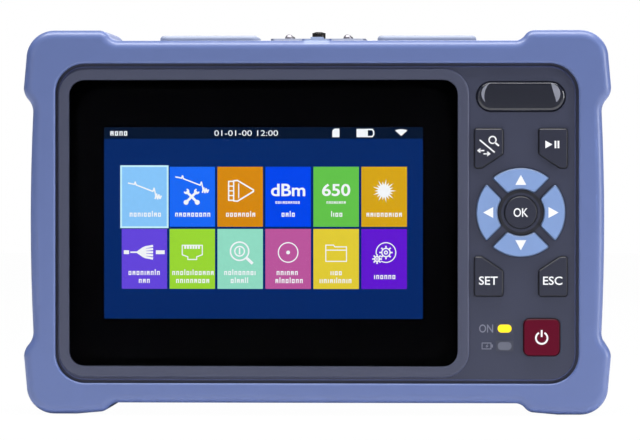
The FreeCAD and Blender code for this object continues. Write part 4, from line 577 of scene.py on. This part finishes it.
# Screen-printed ink behind the glass: dead black, with no gloss of its own.
border_ink = finish("black_screen_ink", "#020203", 0.9, 0.3, 0.02, **{"Specular IOR Level": 0.0})
EDGE = 0.3                 # bare glass round the print
page_left, page_right = page_x - PAGE_WIDTH / 2, page_x + PAGE_WIDTH / 2
page_foot, page_top = page_z - PAGE_HEIGHT / 2, page_z + PAGE_HEIGHT / 2
border = Sheet(glass_high.y + 3 * LAYER, 2 * LAYER)
border.band(rectangle(glass_low.x + EDGE, glass_high.x - EDGE, glass_low.z + EDGE, glass_high.z - EDGE, 4.7),
            rectangle(page_left, page_right, page_foot, page_top, 0.3))
border.finish("glass_border", border_ink, "case", "adhesive_black")

# The bond that holds the glass is black foam tape.
dress(finish("black_bond", "#020203", 0.9, 0.5, 0.02, **{"Specular IOR Level": 0.0}), "glass_adhesive")

# The navy ground of the page, and the darker bar above it.
STATUS_HIGH = 3.9
ground = Sheet(page_y, LAYER)
ground.shape(rectangle(page_left, page_right, page_foot, page_top - STATUS_HIGH))
ground.finish("picture_ground", lit("lit_navy_ground", "#062968"), "case", "display")
bar = Sheet(page_y, LAYER)
bar.shape(rectangle(page_left, page_right, page_top - STATUS_HIGH, page_top))
bar.finish("status_bar", lit("lit_status_bar", "#07162e"), "case", "display")

TILE_COLOURS = ("#87c6fb", "#1b69f7", "#d68a12", "#0346ee", "#64c34c", "#d6a619",
                "#6547de", "#9cd936", "#93dec6", "#bd589e", "#e4ce38", "#621ad2")
TILE_NAMES = ("trace", "expert", "map", "meter", "locator", "source",
              "loss", "sequence", "tracker", "inspector", "files", "settings")
TILE_WIDTH, TILE_HEIGHT = 15.4, 20.3
PITCH_X, PITCH_Z = 16.26, 21.06
COLUMNS = 6
FIRST_X = page_left + 13.65
FIRST_Z = page_top - 23.5
CHOSEN_RIM = 0.5           # the first tile is chosen, and has a pale rim
tile_y = page_y - LAYER
tile_middle = []
for i, (colour, name) in enumerate(zip(TILE_COLOURS, TILE_NAMES)):
    x = FIRST_X + (i % COLUMNS) * PITCH_X
    z = FIRST_Z - (i // COLUMNS) * PITCH_Z
    tile_middle.append((x, z))
    wide, high = TILE_WIDTH / 2, TILE_HEIGHT / 2
    chosen = i == 0
    if chosen:
        rim = Sheet(tile_y, LAYER)
        rim.shape(rectangle(x - wide - CHOSEN_RIM, x + wide + CHOSEN_RIM,
                            z - high - CHOSEN_RIM, z + high + CHOSEN_RIM))
        rim.finish("chosen_tile_frame", lit("lit_pale_frame", "#c4f0fd"), "case", "display")
        wide, high = wide - 0.1, high - 0.1
    tile = Sheet(tile_y - (LAYER if chosen else 0), LAYER)
    tile.shape(rectangle(x - wide, x + wide, z - high, z + high))
    tile.finish("tile_" + name, lit("lit_tile_" + name, colour), "case", "display")

icon_y = tile_y - 2 * LAYER
icons = Sheet(icon_y, LAYER)
letters = random.Random(7)


def word(sheet, x, z, length, height):
    """A word too small to read, as a run of little open boxes, bars and stems."""
    at, end = x - length / 2, x + length / 2
    low, line = z - height * 0.4, height * 0.17
    while at < end - 0.3:
        kind = letters.choice("oonneil")
        wide = line if kind in "il" else height * 0.5
        tall = height * (1.0 if kind == "l" else 0.7)
        if kind in "one":
            sheet.shape(rectangle(at, at + line, low, low + tall))
            sheet.shape(rectangle(at + wide - line, at + wide, low, low + tall))
            sheet.shape(rectangle(at + line, at + wide - line, low + tall - line, low + tall))
            if kind == "o":
                sheet.shape(rectangle(at + line, at + wide - line, low, low + line))
            if kind == "e":
                sheet.shape(rectangle(at + line, at + wide - line, low + tall * 0.4, low + tall * 0.4 + line))
        else:
            sheet.shape(rectangle(at, at + wide, low, low + tall))
        at += wide + height * 0.2


def trace_icon(x, z):
    """A falling trace with two events and the noise at its end."""
    icons.stroke([(-5.4, 4.6), (-3.4, 4.2), (-3.1, 5.0), (-2.8, 4.0), (2.9, 1.8), (3.3, 2.9), (3.7, 1.2),
                  (3.9, 0.1)], 0.42, x, z)
    icons.stroke([(3.7, -0.6), (4.1, 0.9), (4.5, -0.7), (4.9, 0.6), (5.3, -0.6), (5.7, 0.2)], 0.5, x, z)


def tools_icon(x, z):
    """A crossed spanner and driver."""
    for side in (-1, 1):
        icons.stroke([(-1.9 * side, -2.0), (1.6 * side, 1.5)], 0.85, x, z)
        icons.shape(disc(x - 1.9 * side, z - 2.0, 0.85, 14))
    for side in (-1, 1):
        icons.ring(x + 1.75 * side, z + 1.7, 0.95, 0.42, 90 - 45 * side + 50, 90 - 45 * side + 310, 14)


def map_icon(x, z):
    """A strip of links that feeds a wedge."""
    icons.stroke([(-3.9, -1.2), (-3.9, 5.2), (-2.2, 5.2), (-2.2, -1.2), (-3.9, -1.2)], 0.45, x, z)
    for step in range(3):
        icons.stroke([(-3.9, 0.4 + step * 1.6), (-2.2, 0.4 + step * 1.6)], 0.4, x, z)
    icons.stroke([(-2.2, 5.4), (-0.9, 5.5), (4.5, 2.3), (4.5, 1.8), (-0.9, -1.5), (-2.2, -1.4)], 0.5, x, z)
    icons.stroke([(-0.5, 4.4), (-0.5, -0.4)], 0.35, x, z)


def sun_icon(x, z):
    """A sun with long and short rays."""
    rays, root, half = 18, 2.0, 0.32
    icons.shape(disc(x, z + 2.0, 2.1))
    for k in range(rays):
        a = math.tau * k / rays
        far = 4.1 if k % 2 == 0 else 3.3
        cx, cz = math.cos(a), math.sin(a)
        icons.shape([(root * cx + half * cz, root * cz - half * cx), (far * cx, far * cz),
                     (root * cx - half * cz, root * cz + half * cx)], x, z + 2.0)


def loss_icon(x, z):
    """A cable that fans out into its cores, between two small marks."""
    icons.shape(rectangle(-7.0 + x, -5.2 + x, z + 1.6, z + 2.9))
    icons.stroke([(-4.6, 2.25), (-2.4, 2.25)], 0.5, x, z)
    icons.shape([(-2.6, 2.0), (-0.6, 0.6), (0.6, 0.1), (0.6, 4.4), (-0.6, 3.9), (-2.6, 2.5)], x, z)
    for k in range(5):
        spread = (k - 2) * 1.05
        icons.stroke([(0.4, 2.25 + spread * 0.8), (2.7, 2.25 + spread)], 0.75, x, z)
    icons.shape(rectangle(x + 3.9, x + 6.9, z + 1.6, z + 2.9))


def socket_icon(x, z):
    """A network socket with its contacts."""
    icons.stroke([(-3.4, 4.6), (-3.4, 1.4), (-1.5, 0.7), (-1.5, -0.2), (1.5, -0.2), (1.5, 0.7), (3.4, 1.4),
                  (3.4, 4.6), (-3.4, 4.6)], 0.36, x, z)
    for k in range(6):
        icons.shape(rectangle(x - 2.7 + k * 0.93, x - 2.05 + k * 0.93, z + 3.4, z + 4.5))


def lens_icon(x, z):
    """A magnifier over a small ring."""
    icons.ring(x - 0.2, z + 2.6, 3.35, 2.85)
    icons.ring(x - 0.2, z + 2.6, 1.85, 1.4)
    icons.stroke([(-0.2, 3.6), (-0.2, 1.7)], 0.5, x, z)
    icons.stroke([(2.3, 0.2), (4.0, -1.4)], 0.95, x, z)


def face_icon(x, z):
    """The end face of a ferrule with its core."""
    icons.ring(x, z + 2.2, 3.5, 3.12)
    icons.shape(disc(x, z + 2.2, 0.65, 20))


def folder_icon(x, z):
    icons.stroke([(-3.5, -0.8), (-3.5, 4.7), (-0.9, 4.7), (-0.4, 4.1), (3.5, 4.1), (3.5, -0.8), (-3.5, -0.8)],
                 0.34, x, z)
    icons.stroke([(-3.2, 3.0), (3.2, 3.0)], 0.34, x, z)


def gears_icon(x, z):
    """Two gears in an open ring."""
    for gx, gz, r in ((0.6, 2.2, 1.6), (-2.4, 0.0, 1.0)):
        icons.ring(x + gx, z + gz, r, r - 0.4)
        for k in range(8):
            a = math.tau * k / 8
            icons.stroke([(gx + far * math.cos(a), gz + far * math.sin(a)) for far in (r, r + 0.5)],
                         0.5, x, z)
        icons.ring(x + gx, z + gz, r * 0.45, r * 0.2, steps=16)
    icons.ring(x + 0.6, z + 2.2, 3.5, 3.15, -120, 190, 48)


def unit_icon(text, wide, under):
    """A unit or a wavelength over a short word."""
    def draw(x, z):
        join_into(icons, lettering(text, x, z + 2.3, 4.2, icon_y, LAYER, bold=0.02, wide=wide))
        word(icons, x, z - 1.9, under, 1.2)
    return draw


def expert_icon(x, z):
    trace_icon(x - 0.2, z + 2.1)
    tools_icon(x - 0.2, z + 0.1)


DRAWINGS = (trace_icon, expert_icon, map_icon, unit_icon("dBm", 11.6, 8.6), unit_icon("650", 9.6, 6.5),
            sun_icon, loss_icon, socket_icon, lens_icon, face_icon, folder_icon, gears_icon)
# The lengths of each tile's one or two words.
CAPTIONS = ((10.0,), (11.6,), (9.6,), (4.4,), (3.4,), (12.0,),
            (10.8, 3.8), (13.6, 11.0), (10.8, 6.4), (7.8, 8.6), (3.8, 11.2), (6.8,))
for (x, z), draw, lines in zip(tile_middle, DRAWINGS, CAPTIONS):
    draw(x, z)
    first = -6.0 if len(lines) == 1 else -4.7
    for k, length in enumerate(lines):
        word(icons, x, z + first - 2.7 * k, length, 1.95)

# Status bar: a short word, the clock, a card, the battery and the signal.
bar_z = page_top - STATUS_HIGH / 2
word(icons, page_left + 5.0, bar_z, 5.8, 2.2)
join_into(icons, lettering("01-01-00 12:00", page_x - 5.8, bar_z, 1.9, icon_y, LAYER, wide=21.6))
card_x, cell_x, signal_x = (page_left + far for far in (78.6, 89.4, 100.7))
icons.shape([(-1.2, -1.4), (1.2, -1.4), (1.2, 1.5), (-0.5, 1.5), (-1.2, 0.8)], card_x, bar_z)
icons.shape(rectangle(cell_x - 3.8, cell_x, bar_z - 1.4, bar_z + 1.4))
icons.stroke([(0, 1.2), (1.5, 1.2), (2.0, 0.5), (2.0, -0.5), (1.5, -1.2), (0, -1.2)], 0.45, cell_x, bar_z)
icons.shape([(-2.1, 0.9), (0, -1.0), (2.1, 0.9), (1.0, 1.2), (0, 1.3), (-1.0, 1.2)], signal_x, bar_z)
icons.finish("picture_icons", lit("lit_white", "#f4f7fb"), "case", "display")

# The panel's folded steel rim is satin, its bracket is zinc plated sheet with the lines of the mill, and
# the cable is polyimide film, glossy and amber.
dress(finish("panel_edge_steel", "#8f9296", 0.4, 0.5, 0.05, Metallic=0.6), "lcd_panel")
dress(metal("zinc_plated_sheet", "#b4b6b8", 0.4, 0.6), "lcd_bracket")
dress(finish("amber_polyimide", "#b5702a", 0.3, 1.0, 0.03), "display_cable")


# ---- Keypad ----
# Ten hard ABS caps that stand out of the panel: four dark ones at the corners, a ring of four blue arrow
# keys, a dark centre key and a red power key. Their legends are printed white.

# Satin ABS: a soft gloss. Its flanks are painted darker, painted shade where they stand in their apertures.
key_dark = finish("satin_dark_abs", "#1f2235", 0.42, 0.3, 0.08, edge=0.4, **{"IOR": 1.5})
key_blue = finish("satin_blue_abs", "#7d99cb", 0.42, 0.3, 0.06, edge=0.5, **{"IOR": 1.5})
key_red = finish("satin_red_abs", "#5c0020", 0.42, 0.3, 0.06, edge=0.5,
                 **{"IOR": 1.5, "Specular IOR Level": 0.12})
dress(key_dark, "key_zoom", "key_run", "key_set", "key_esc", "key_ok")
dress(key_blue, "key_up", "key_down", "key_left", "key_right")
dress(key_red, "key_power")

# Pad-printed white ink, a few hundredths of a millimetre thick.
legend_ink = finish("white_pad_print", "#f2f3f5", 0.5, 0.3, 0.05, spread=0.02)
INK = 0.03


def front_middle(name):
    """The middle of a node's front in mm: its x, z and y."""
    low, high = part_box(name)
    return (low.x + high.x) / 2 / MM, (low.z + high.z) / 2 / MM, low.y / MM


KEY_SLOTS = {"key_power": "key_red", "key_up": "key_blue", "key_down": "key_blue",
             "key_left": "key_blue", "key_right": "key_blue"}


def legend(key, body, draw):
    """One legend, which rides on its key."""
    x, z, y = front_middle(key)
    ink = Sheet(y, INK)
    draw(ink, x, z, y)
    ink.finish(key + "_legend", legend_ink, body, KEY_SLOTS.get(key, "key_dark"))


def key_word(text, wide, height, dx=0.0, dz=0.0):
    """A word on a key, moved off its middle by dx and dz."""
    def draw(ink, x, z, y):
        join_into(ink, lettering(text, x + dx, z + dz, height, y, INK, bold=0.012, wide=wide))
    return draw


def arrow(angle):
    """A triangle that points away from the middle of the ring."""
    size = 1.95
    def draw(ink, x, z, y):
        cx, cz = size * math.cos(math.radians(angle)), size * math.sin(math.radians(angle))
        corners = ((1.0, 0.0), (-0.75, 0.95), (-0.75, -0.95))
        ink.shape([(u * cx - v * cz, u * cz + v * cx) for u, v in corners], x, z)
    return draw


def run_legend(ink, x, z, y):
    """Start and pause."""
    ink.shape([(-2.6, -1.3), (-0.2, 0.0), (-2.6, 1.3)], x, z + 1.35)
    for dx in (0.5, 1.5):
        ink.shape(rectangle(x + dx, x + dx + 0.6, z + 0.1, z + 2.6))


def zoom_legend(ink, x, z, y):
    """A magnifier over a pair of arrows, with a slash between."""
    ink.ring(x + 1.3, z + 2.9, 1.4, 0.95, steps=24)
    ink.stroke([(2.2, 2.0), (3.3, 1.0)], 0.6, x, z)
    ink.stroke([(-2.9, 2.8), (1.9, -1.2)], 0.5, x, z)
    ink.stroke([(-3.0, -0.7), (-1.6, -0.7)], 0.45, x, z)
    ink.shape([(-3.9, -0.7), (-2.8, 0.2), (-2.8, -1.6)], x, z)
    ink.stroke([(-1.6, -1.8), (-0.4, -1.8)], 0.45, x, z)
    ink.shape([(0.7, -1.8), (-0.5, -2.7), (-0.5, -0.9)], x, z)


def power_legend(ink, x, z, y):
    """A broken ring with a bar in its gap."""
    ink.ring(x, z - 0.2, 2.25, 1.65, 118, 422, 44)
    ink.stroke([(0, 0.4), (0, 2.3)], 0.62, x, z)


legend("key_ok", "ok_key", key_word("OK", 4.9, 3.0))
legend("key_set", "set_key", key_word("SET", 6.3, 2.85, dx=-0.1, dz=-1.4))
legend("key_esc", "esc_key", key_word("ESC", 6.5, 2.85, dx=-0.1, dz=-1.4))
legend("key_run", "run_key", run_legend)
legend("key_zoom", "zoom_key", zoom_legend)
legend("key_power", "power_key", power_legend)
for key, angle in (("up", 90), ("down", 270), ("left", 180), ("right", 0)):
    legend("key_" + key, key + "_key", arrow(angle))

# A dark ring is printed on the panel round the centre key.
KEY_STAND = 1.2            # how far the keys stand out of the panel
ok_x, ok_z, ok_y = front_middle("key_ok")
panel_y = ok_y + KEY_STAND
ok_ring = Sheet(panel_y, INK)
ok_ring.band(disc(ok_x, ok_z, 7.75, 64), disc(ok_x, ok_z, 6.65, 64))
ok_ring.finish("ok_ring_print", finish("dark_ring_print", "#191b27", 0.5, 0.3, 0.05), "case", "shell_plastic")

# Lenses of the two lamps beside the power key, moulded in acrylic: glossy, and the upper one is lit.
lens_lit = finish("lit_yellow_acrylic", "#ecd010", 0.25, 0.4, 0.03,
                  **{"Emission Color": linear("#ffce00"), "Emission Strength": 0.5})
lens_off = finish("smoked_acrylic", "#626574", 0.22, 0.4, 0.03)
dress(lens_lit, "power_light_pipe")
dress(lens_off, "charge_light_pipe")

# A dark printed mask on each lens leaves a window with round ends.
mask_ink = finish("dark_lens_print", "#383b4c", 0.45, 0.3, 0.05)
for name in ("power_light_pipe", "charge_light_pipe"):
    x, z, y = front_middle(name)
    mask = Sheet(y, INK)
    mask.band(rectangle(x - 3.0, x + 3.0, z - 1.85, z + 1.85, 0.6, 12),
              rectangle(x - 2.35, x + 2.35, z - 1.35, z + 1.35, 1.3, 12))
    mask.finish(name + "_mask", mask_ink, "case", "shell_plastic")

# Marks beside them, moulded into the panel: ON, and a charging bolt in a cell.
MARK = 0.08                # how far they stand out
light_x, light_z, _ = front_middle("power_light_pipe")
charge_x, charge_z, _ = front_middle("charge_light_pipe")
marks = Sheet(panel_y, MARK)
join_into(marks, lettering("ON", light_x - 6.25, light_z, 2.75, panel_y, MARK, bold=0.01, wide=4.7))
cell_x = charge_x - 6.1
marks.stroke([(-1.5, -1.0), (1.5, -1.0), (1.5, 1.0), (-1.5, 1.0), (-1.5, -1.0)], 0.3, cell_x, charge_z)
marks.shape(rectangle(cell_x + 1.7, cell_x + 2.1, charge_z - 0.5, charge_z + 0.5))
marks.shape([(-0.3, -0.2), (0.4, 0.8), (0.2, 0.1), (0.7, 0.1), (-0.1, -0.8), (0.1, -0.2)], cell_x, charge_z)
mark_ink = finish("moulded_grey_mark", "#787b8c", 0.5, 0.3, 0.05)
marks.finish("lamp_marks", mark_ink, "case", "shell_plastic")


# ---- Name badge ----
# A bare plate cast over with clear resin, which stands as a low dome. It is glued into a recess above the
# keys. A slim bright crescent at each end is a painted highlight: the glint of light on the dome's ends.

# Cast resin: dark, smooth and glossy.
badge_resin = finish("domed_resin", "#1c1e2a", 0.18, 0.8, 0.02,
                     **{"Coat Weight": 0.6, "Coat Roughness": 0.08})
dress(badge_resin, "name_badge")

# Painted highlight: pale metal with fine lines, laid where the dome's ends catch the light.
painted_highlight_metal = metal("painted_highlight_foil", "#c4c6d4", 0.35, 0.25)
ROUND_OUT, ROUND_UP, ROUND = 9.7, 0.9, 3.6     # the middle of each end's round, and its radius
POINTS = 17
badge_x, badge_z, badge_y = front_middle("name_badge")
painted_highlights = Sheet(badge_y + 0.01, 0.05)
for side, wide in ((-1, 1.1), (1, 2.3)):
    turns = (math.radians(-48 + 8 * k) for k in range(POINTS))
    edge = [(side * (ROUND_OUT + ROUND * math.cos(a)), ROUND_UP + ROUND * math.sin(a)) for a in turns]
    back_edge = [(x - side * wide * math.sin(math.pi * (k + 0.5) / POINTS), z)
                 for k, (x, z) in enumerate(edge)]
    outline = edge + back_edge[::-1]
    painted_highlights.shape(outline if side > 0 else outline[::-1], badge_x, badge_z)
painted_highlights.finish("badge_painted_highlights", painted_highlight_metal, "case", "badge_resin")


# ---- Boards and optics ----
# Two circuit boards: one behind the keys, and the main one on the display's bracket. It carries the cast
# optical module, whose fibre runs up to the ferrule adapters in their wells under a screwed plate.

# Solder mask over glass fibre and copper: green with a low gloss.
dress(finish("green_solder_mask", "#14502c", 0.35, 0.8, 0.05), "keypad_board", "main_board")
# Cast aluminium has a coarse blasted skin, and the fibre's sleeve is yellow PVC.
dress(metal("cast_aluminium", "#a9abae", 0.5, 0.8), "optical_module")
dress(finish("yellow_boot", "#d8bf26", 0.5, 0.5, 0.05), "fibre_pigtail")
# Powder coated sheet: an even grey with a fine grain. Its front edge is painted pale: painted light over its
# shade.
plate_coat = finish("powder_coated_plate", "#8e93a3", 0.5, 0.3, 0.08)
painted_light_tone(plate_coat, "#dde1ea", ("Y", -13.9, -14.3))
dress(plate_coat, "adapter_plate")
# Turned brass under nickel: warm and bright.
dress(metal("nickel_plated_brass", "#bdb6a8", 0.25, 0.3), "otdr_adapter", "meter_port", "locator_port")


# ---- Jacks ----
# Power, USB and network jacks on the rear of the main board, with nylon bodies or stamped steel shells.
# Eight spring wires hang in each network jack.

# Nylon is black and a little dull, and stamped sheet bright.
dress(finish("black_jack_nylon", "#131416", 0.5, 0.4, 0.08), "lan_jack_left", "lan_jack_right", "dc_jack")
dress(metal("stamped_jack_shell", "#b9bbbd", 0.3, 0.3), "usb_a_jack", "micro_usb_jack")


def row_of(tree, given, thing):
    """Count things along X at Pitch, with their middle at each point."""
    gaps = add(tree, "ShaderNodeMath", {0: given["Count"], 1: 1.0}, operation="SUBTRACT")
    half = add(tree, "ShaderNodeMath", {0: gaps, 1: -0.5}, operation="MULTIPLY")
    first = add(tree, "ShaderNodeMath", {0: given["Pitch"], 1: half}, operation="MULTIPLY")
    start = add(tree, "ShaderNodeCombineXYZ", {"X": first})
    step = add(tree, "ShaderNodeCombineXYZ", {"X": given["Pitch"]})
    row = add(tree, "GeometryNodeMeshLine", {"Count": given["Count"], "Start Location": start,
                                             "Offset": step})
    things = add(tree, "GeometryNodeInstanceOnPoints", {"Points": row, "Instance": thing})
    rows = add(tree, "GeometryNodeInstanceOnPoints", {"Points": given["Points"], "Instance": things})
    return end_tree(tree, given, rows)


def spring_tree():
    """The spring wires of a network jack, which hang near its mouth and lean forward."""
    tree, given = geometry_tree("spring_wires", Count=8, Pitch=1.02 * MM, WireRadius=0.16 * MM,
                                Drop=8.0 * MM, Slope=1.5 * MM)
    down = add(tree, "ShaderNodeMath", {0: given["Drop"], 1: -1.0}, operation="MULTIPLY")
    lean = add(tree, "ShaderNodeMath", {0: given["Slope"], 1: -1.0}, operation="MULTIPLY")
    knee = add(tree, "ShaderNodeMath", {0: down, 1: 0.55}, operation="MULTIPLY")
    middle = add(tree, "ShaderNodeCombineXYZ", {"Z": knee})
    end = add(tree, "ShaderNodeCombineXYZ", {"Y": lean, "Z": down})
    line = add(tree, "GeometryNodeCurveQuadraticBezier", {"Resolution": 8, "Start": (0, 0, 0),
                                                          "Middle": middle, "End": end})
    section = add(tree, "GeometryNodeCurvePrimitiveCircle", {"Resolution": 10,
                                                             "Radius": given["WireRadius"]})
    wire = add(tree, "GeometryNodeCurveToMesh", {"Curve": line, "Profile Curve": section,
                                                 "Fill Caps": True})
    return row_of(tree, given, wire)


# Gold flash over the springs: thin, deep yellow and bright.
gold = metal("gold_flash", "#caa14e", 0.3, 0.3)
rows = []
for name in ("lan_jack_left", "lan_jack_right"):
    low, high = (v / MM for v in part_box(name))
    rows.append(((low.x + high.x) / 2, high.y - 2.15, high.z - 2.0))
repeat("lan_contacts", spring_tree(), rows, gold, "case", "contact_gold")


# ---- Port caps ----
# Three dust caps that push on the ferrules: the middle one is turned aluminium with a knob, and the outer
# two are moulded rubber. Fine ribs give the fingers a hold.

# Anodised aluminium is nearly black with a soft sheen, and the rubber black and dull.
anodised = metal("dark_anodised_aluminium", "#3a3836", 0.3, 0.3)
dress(anodised, "otdr_cap")
cap_rubber = finish("black_cap_rubber", "#17181a", 0.6, 0.4, 0.1)
dress(cap_rubber, "meter_cap", "locator_cap")


def rib_tree():
    """Upright ribs in a ring."""
    tree, given = geometry_tree("upright_ribs", Count=24, RingRadius=5.0 * MM, RibRadius=0.25 * MM,
                                Height=3.0 * MM)
    circle = add(tree, "GeometryNodeMeshCircle", {"Vertices": given["Count"],
                                                  "Radius": given["RingRadius"]})
    rib = add(tree, "GeometryNodeMeshCylinder", {"Vertices": 12, "Radius": given["RibRadius"],
                                                 "Depth": given["Height"]})
    ribs = add(tree, "GeometryNodeInstanceOnPoints", {"Points": circle, "Instance": rib})
    rings = add(tree, "GeometryNodeInstanceOnPoints", {"Points": given["Points"], "Instance": ribs})
    return end_tree(tree, given, rings)


def on_cap(cap, up):
    """A point on a cap's axis, up from its foot. Facets put its box a touch off centre, so it is rounded."""
    low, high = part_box(cap)
    return round((low.x + high.x) / 2 / MM, 2), round((low.y + high.y) / 2 / MM, 2), low.z / MM + up


ribbed = rib_tree()
repeat("otdr_cap_ribs", ribbed, [on_cap("otdr_cap", 2.5)], anodised, "otdr_port_cap", "cap_metal",
       Count=36, RingRadius=4.9 * MM, RibRadius=0.24 * MM, Height=3.6 * MM)
repeat("otdr_knob_ribs", ribbed, [on_cap("otdr_cap", 6.3)], anodised, "otdr_port_cap", "cap_metal",
       Count=18, RingRadius=2.06 * MM, RibRadius=0.2 * MM, Height=1.9 * MM)
for port in ("meter", "locator"):
    repeat(port + "_cap_ribs", ribbed, [on_cap(port + "_cap", 2.5)], cap_rubber, port + "_port_cap",
           "cap_rubber", Count=28, RingRadius=4.1 * MM, RibRadius=0.24 * MM, Height=3.2 * MM)


# ---- Stand ----
# A ribbed plate of the case's ABS that folds out of the rear shell, with a silicone foot glued inside its
# lower end. Low ribs across the foot keep it from slipping.

def bar_tree():
    """Upright bars side by side."""
    tree, given = geometry_tree("cross_bars", Count=12, Pitch=3.0 * MM, Width=1.0 * MM, Depth=0.5 * MM,
                                Height=4.0 * MM)
    size = add(tree, "ShaderNodeCombineXYZ", {"X": given["Width"], "Y": given["Depth"],
                                              "Z": given["Height"]})
    return row_of(tree, given, add(tree, "GeometryNodeMeshCube", {"Size": size}))


low, high = (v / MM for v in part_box("stand_foot"))
foot_front = ((low.x + high.x) / 2, low.y - 0.02, (low.z + high.z) / 2)
repeat("stand_foot_ribs", bar_tree(), [foot_front], seal_silicone, "stand", "mat_silicone",
       Count=26, Pitch=3.0 * MM, Width=1.1 * MM, Depth=0.2 * MM, Height=3.6 * MM)


# ---- Battery and speaker ----
# A flat pack in shrink wrap lies behind its door, against a block of gold plated springs, and a speaker
# with a paper cone sits behind its grille.

# Shrink wrap is a glossy blue film, and paper dull and fibrous.
dress(finish("blue_shrink_wrap", "#1d2c50", 0.3, 2.0, 0.05), "battery_pack")
dress(gold, "battery_contacts")
dress(finish("paper_cone", "#0e0e10", 0.8, 0.6, 0.2), "speaker")


low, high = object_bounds()
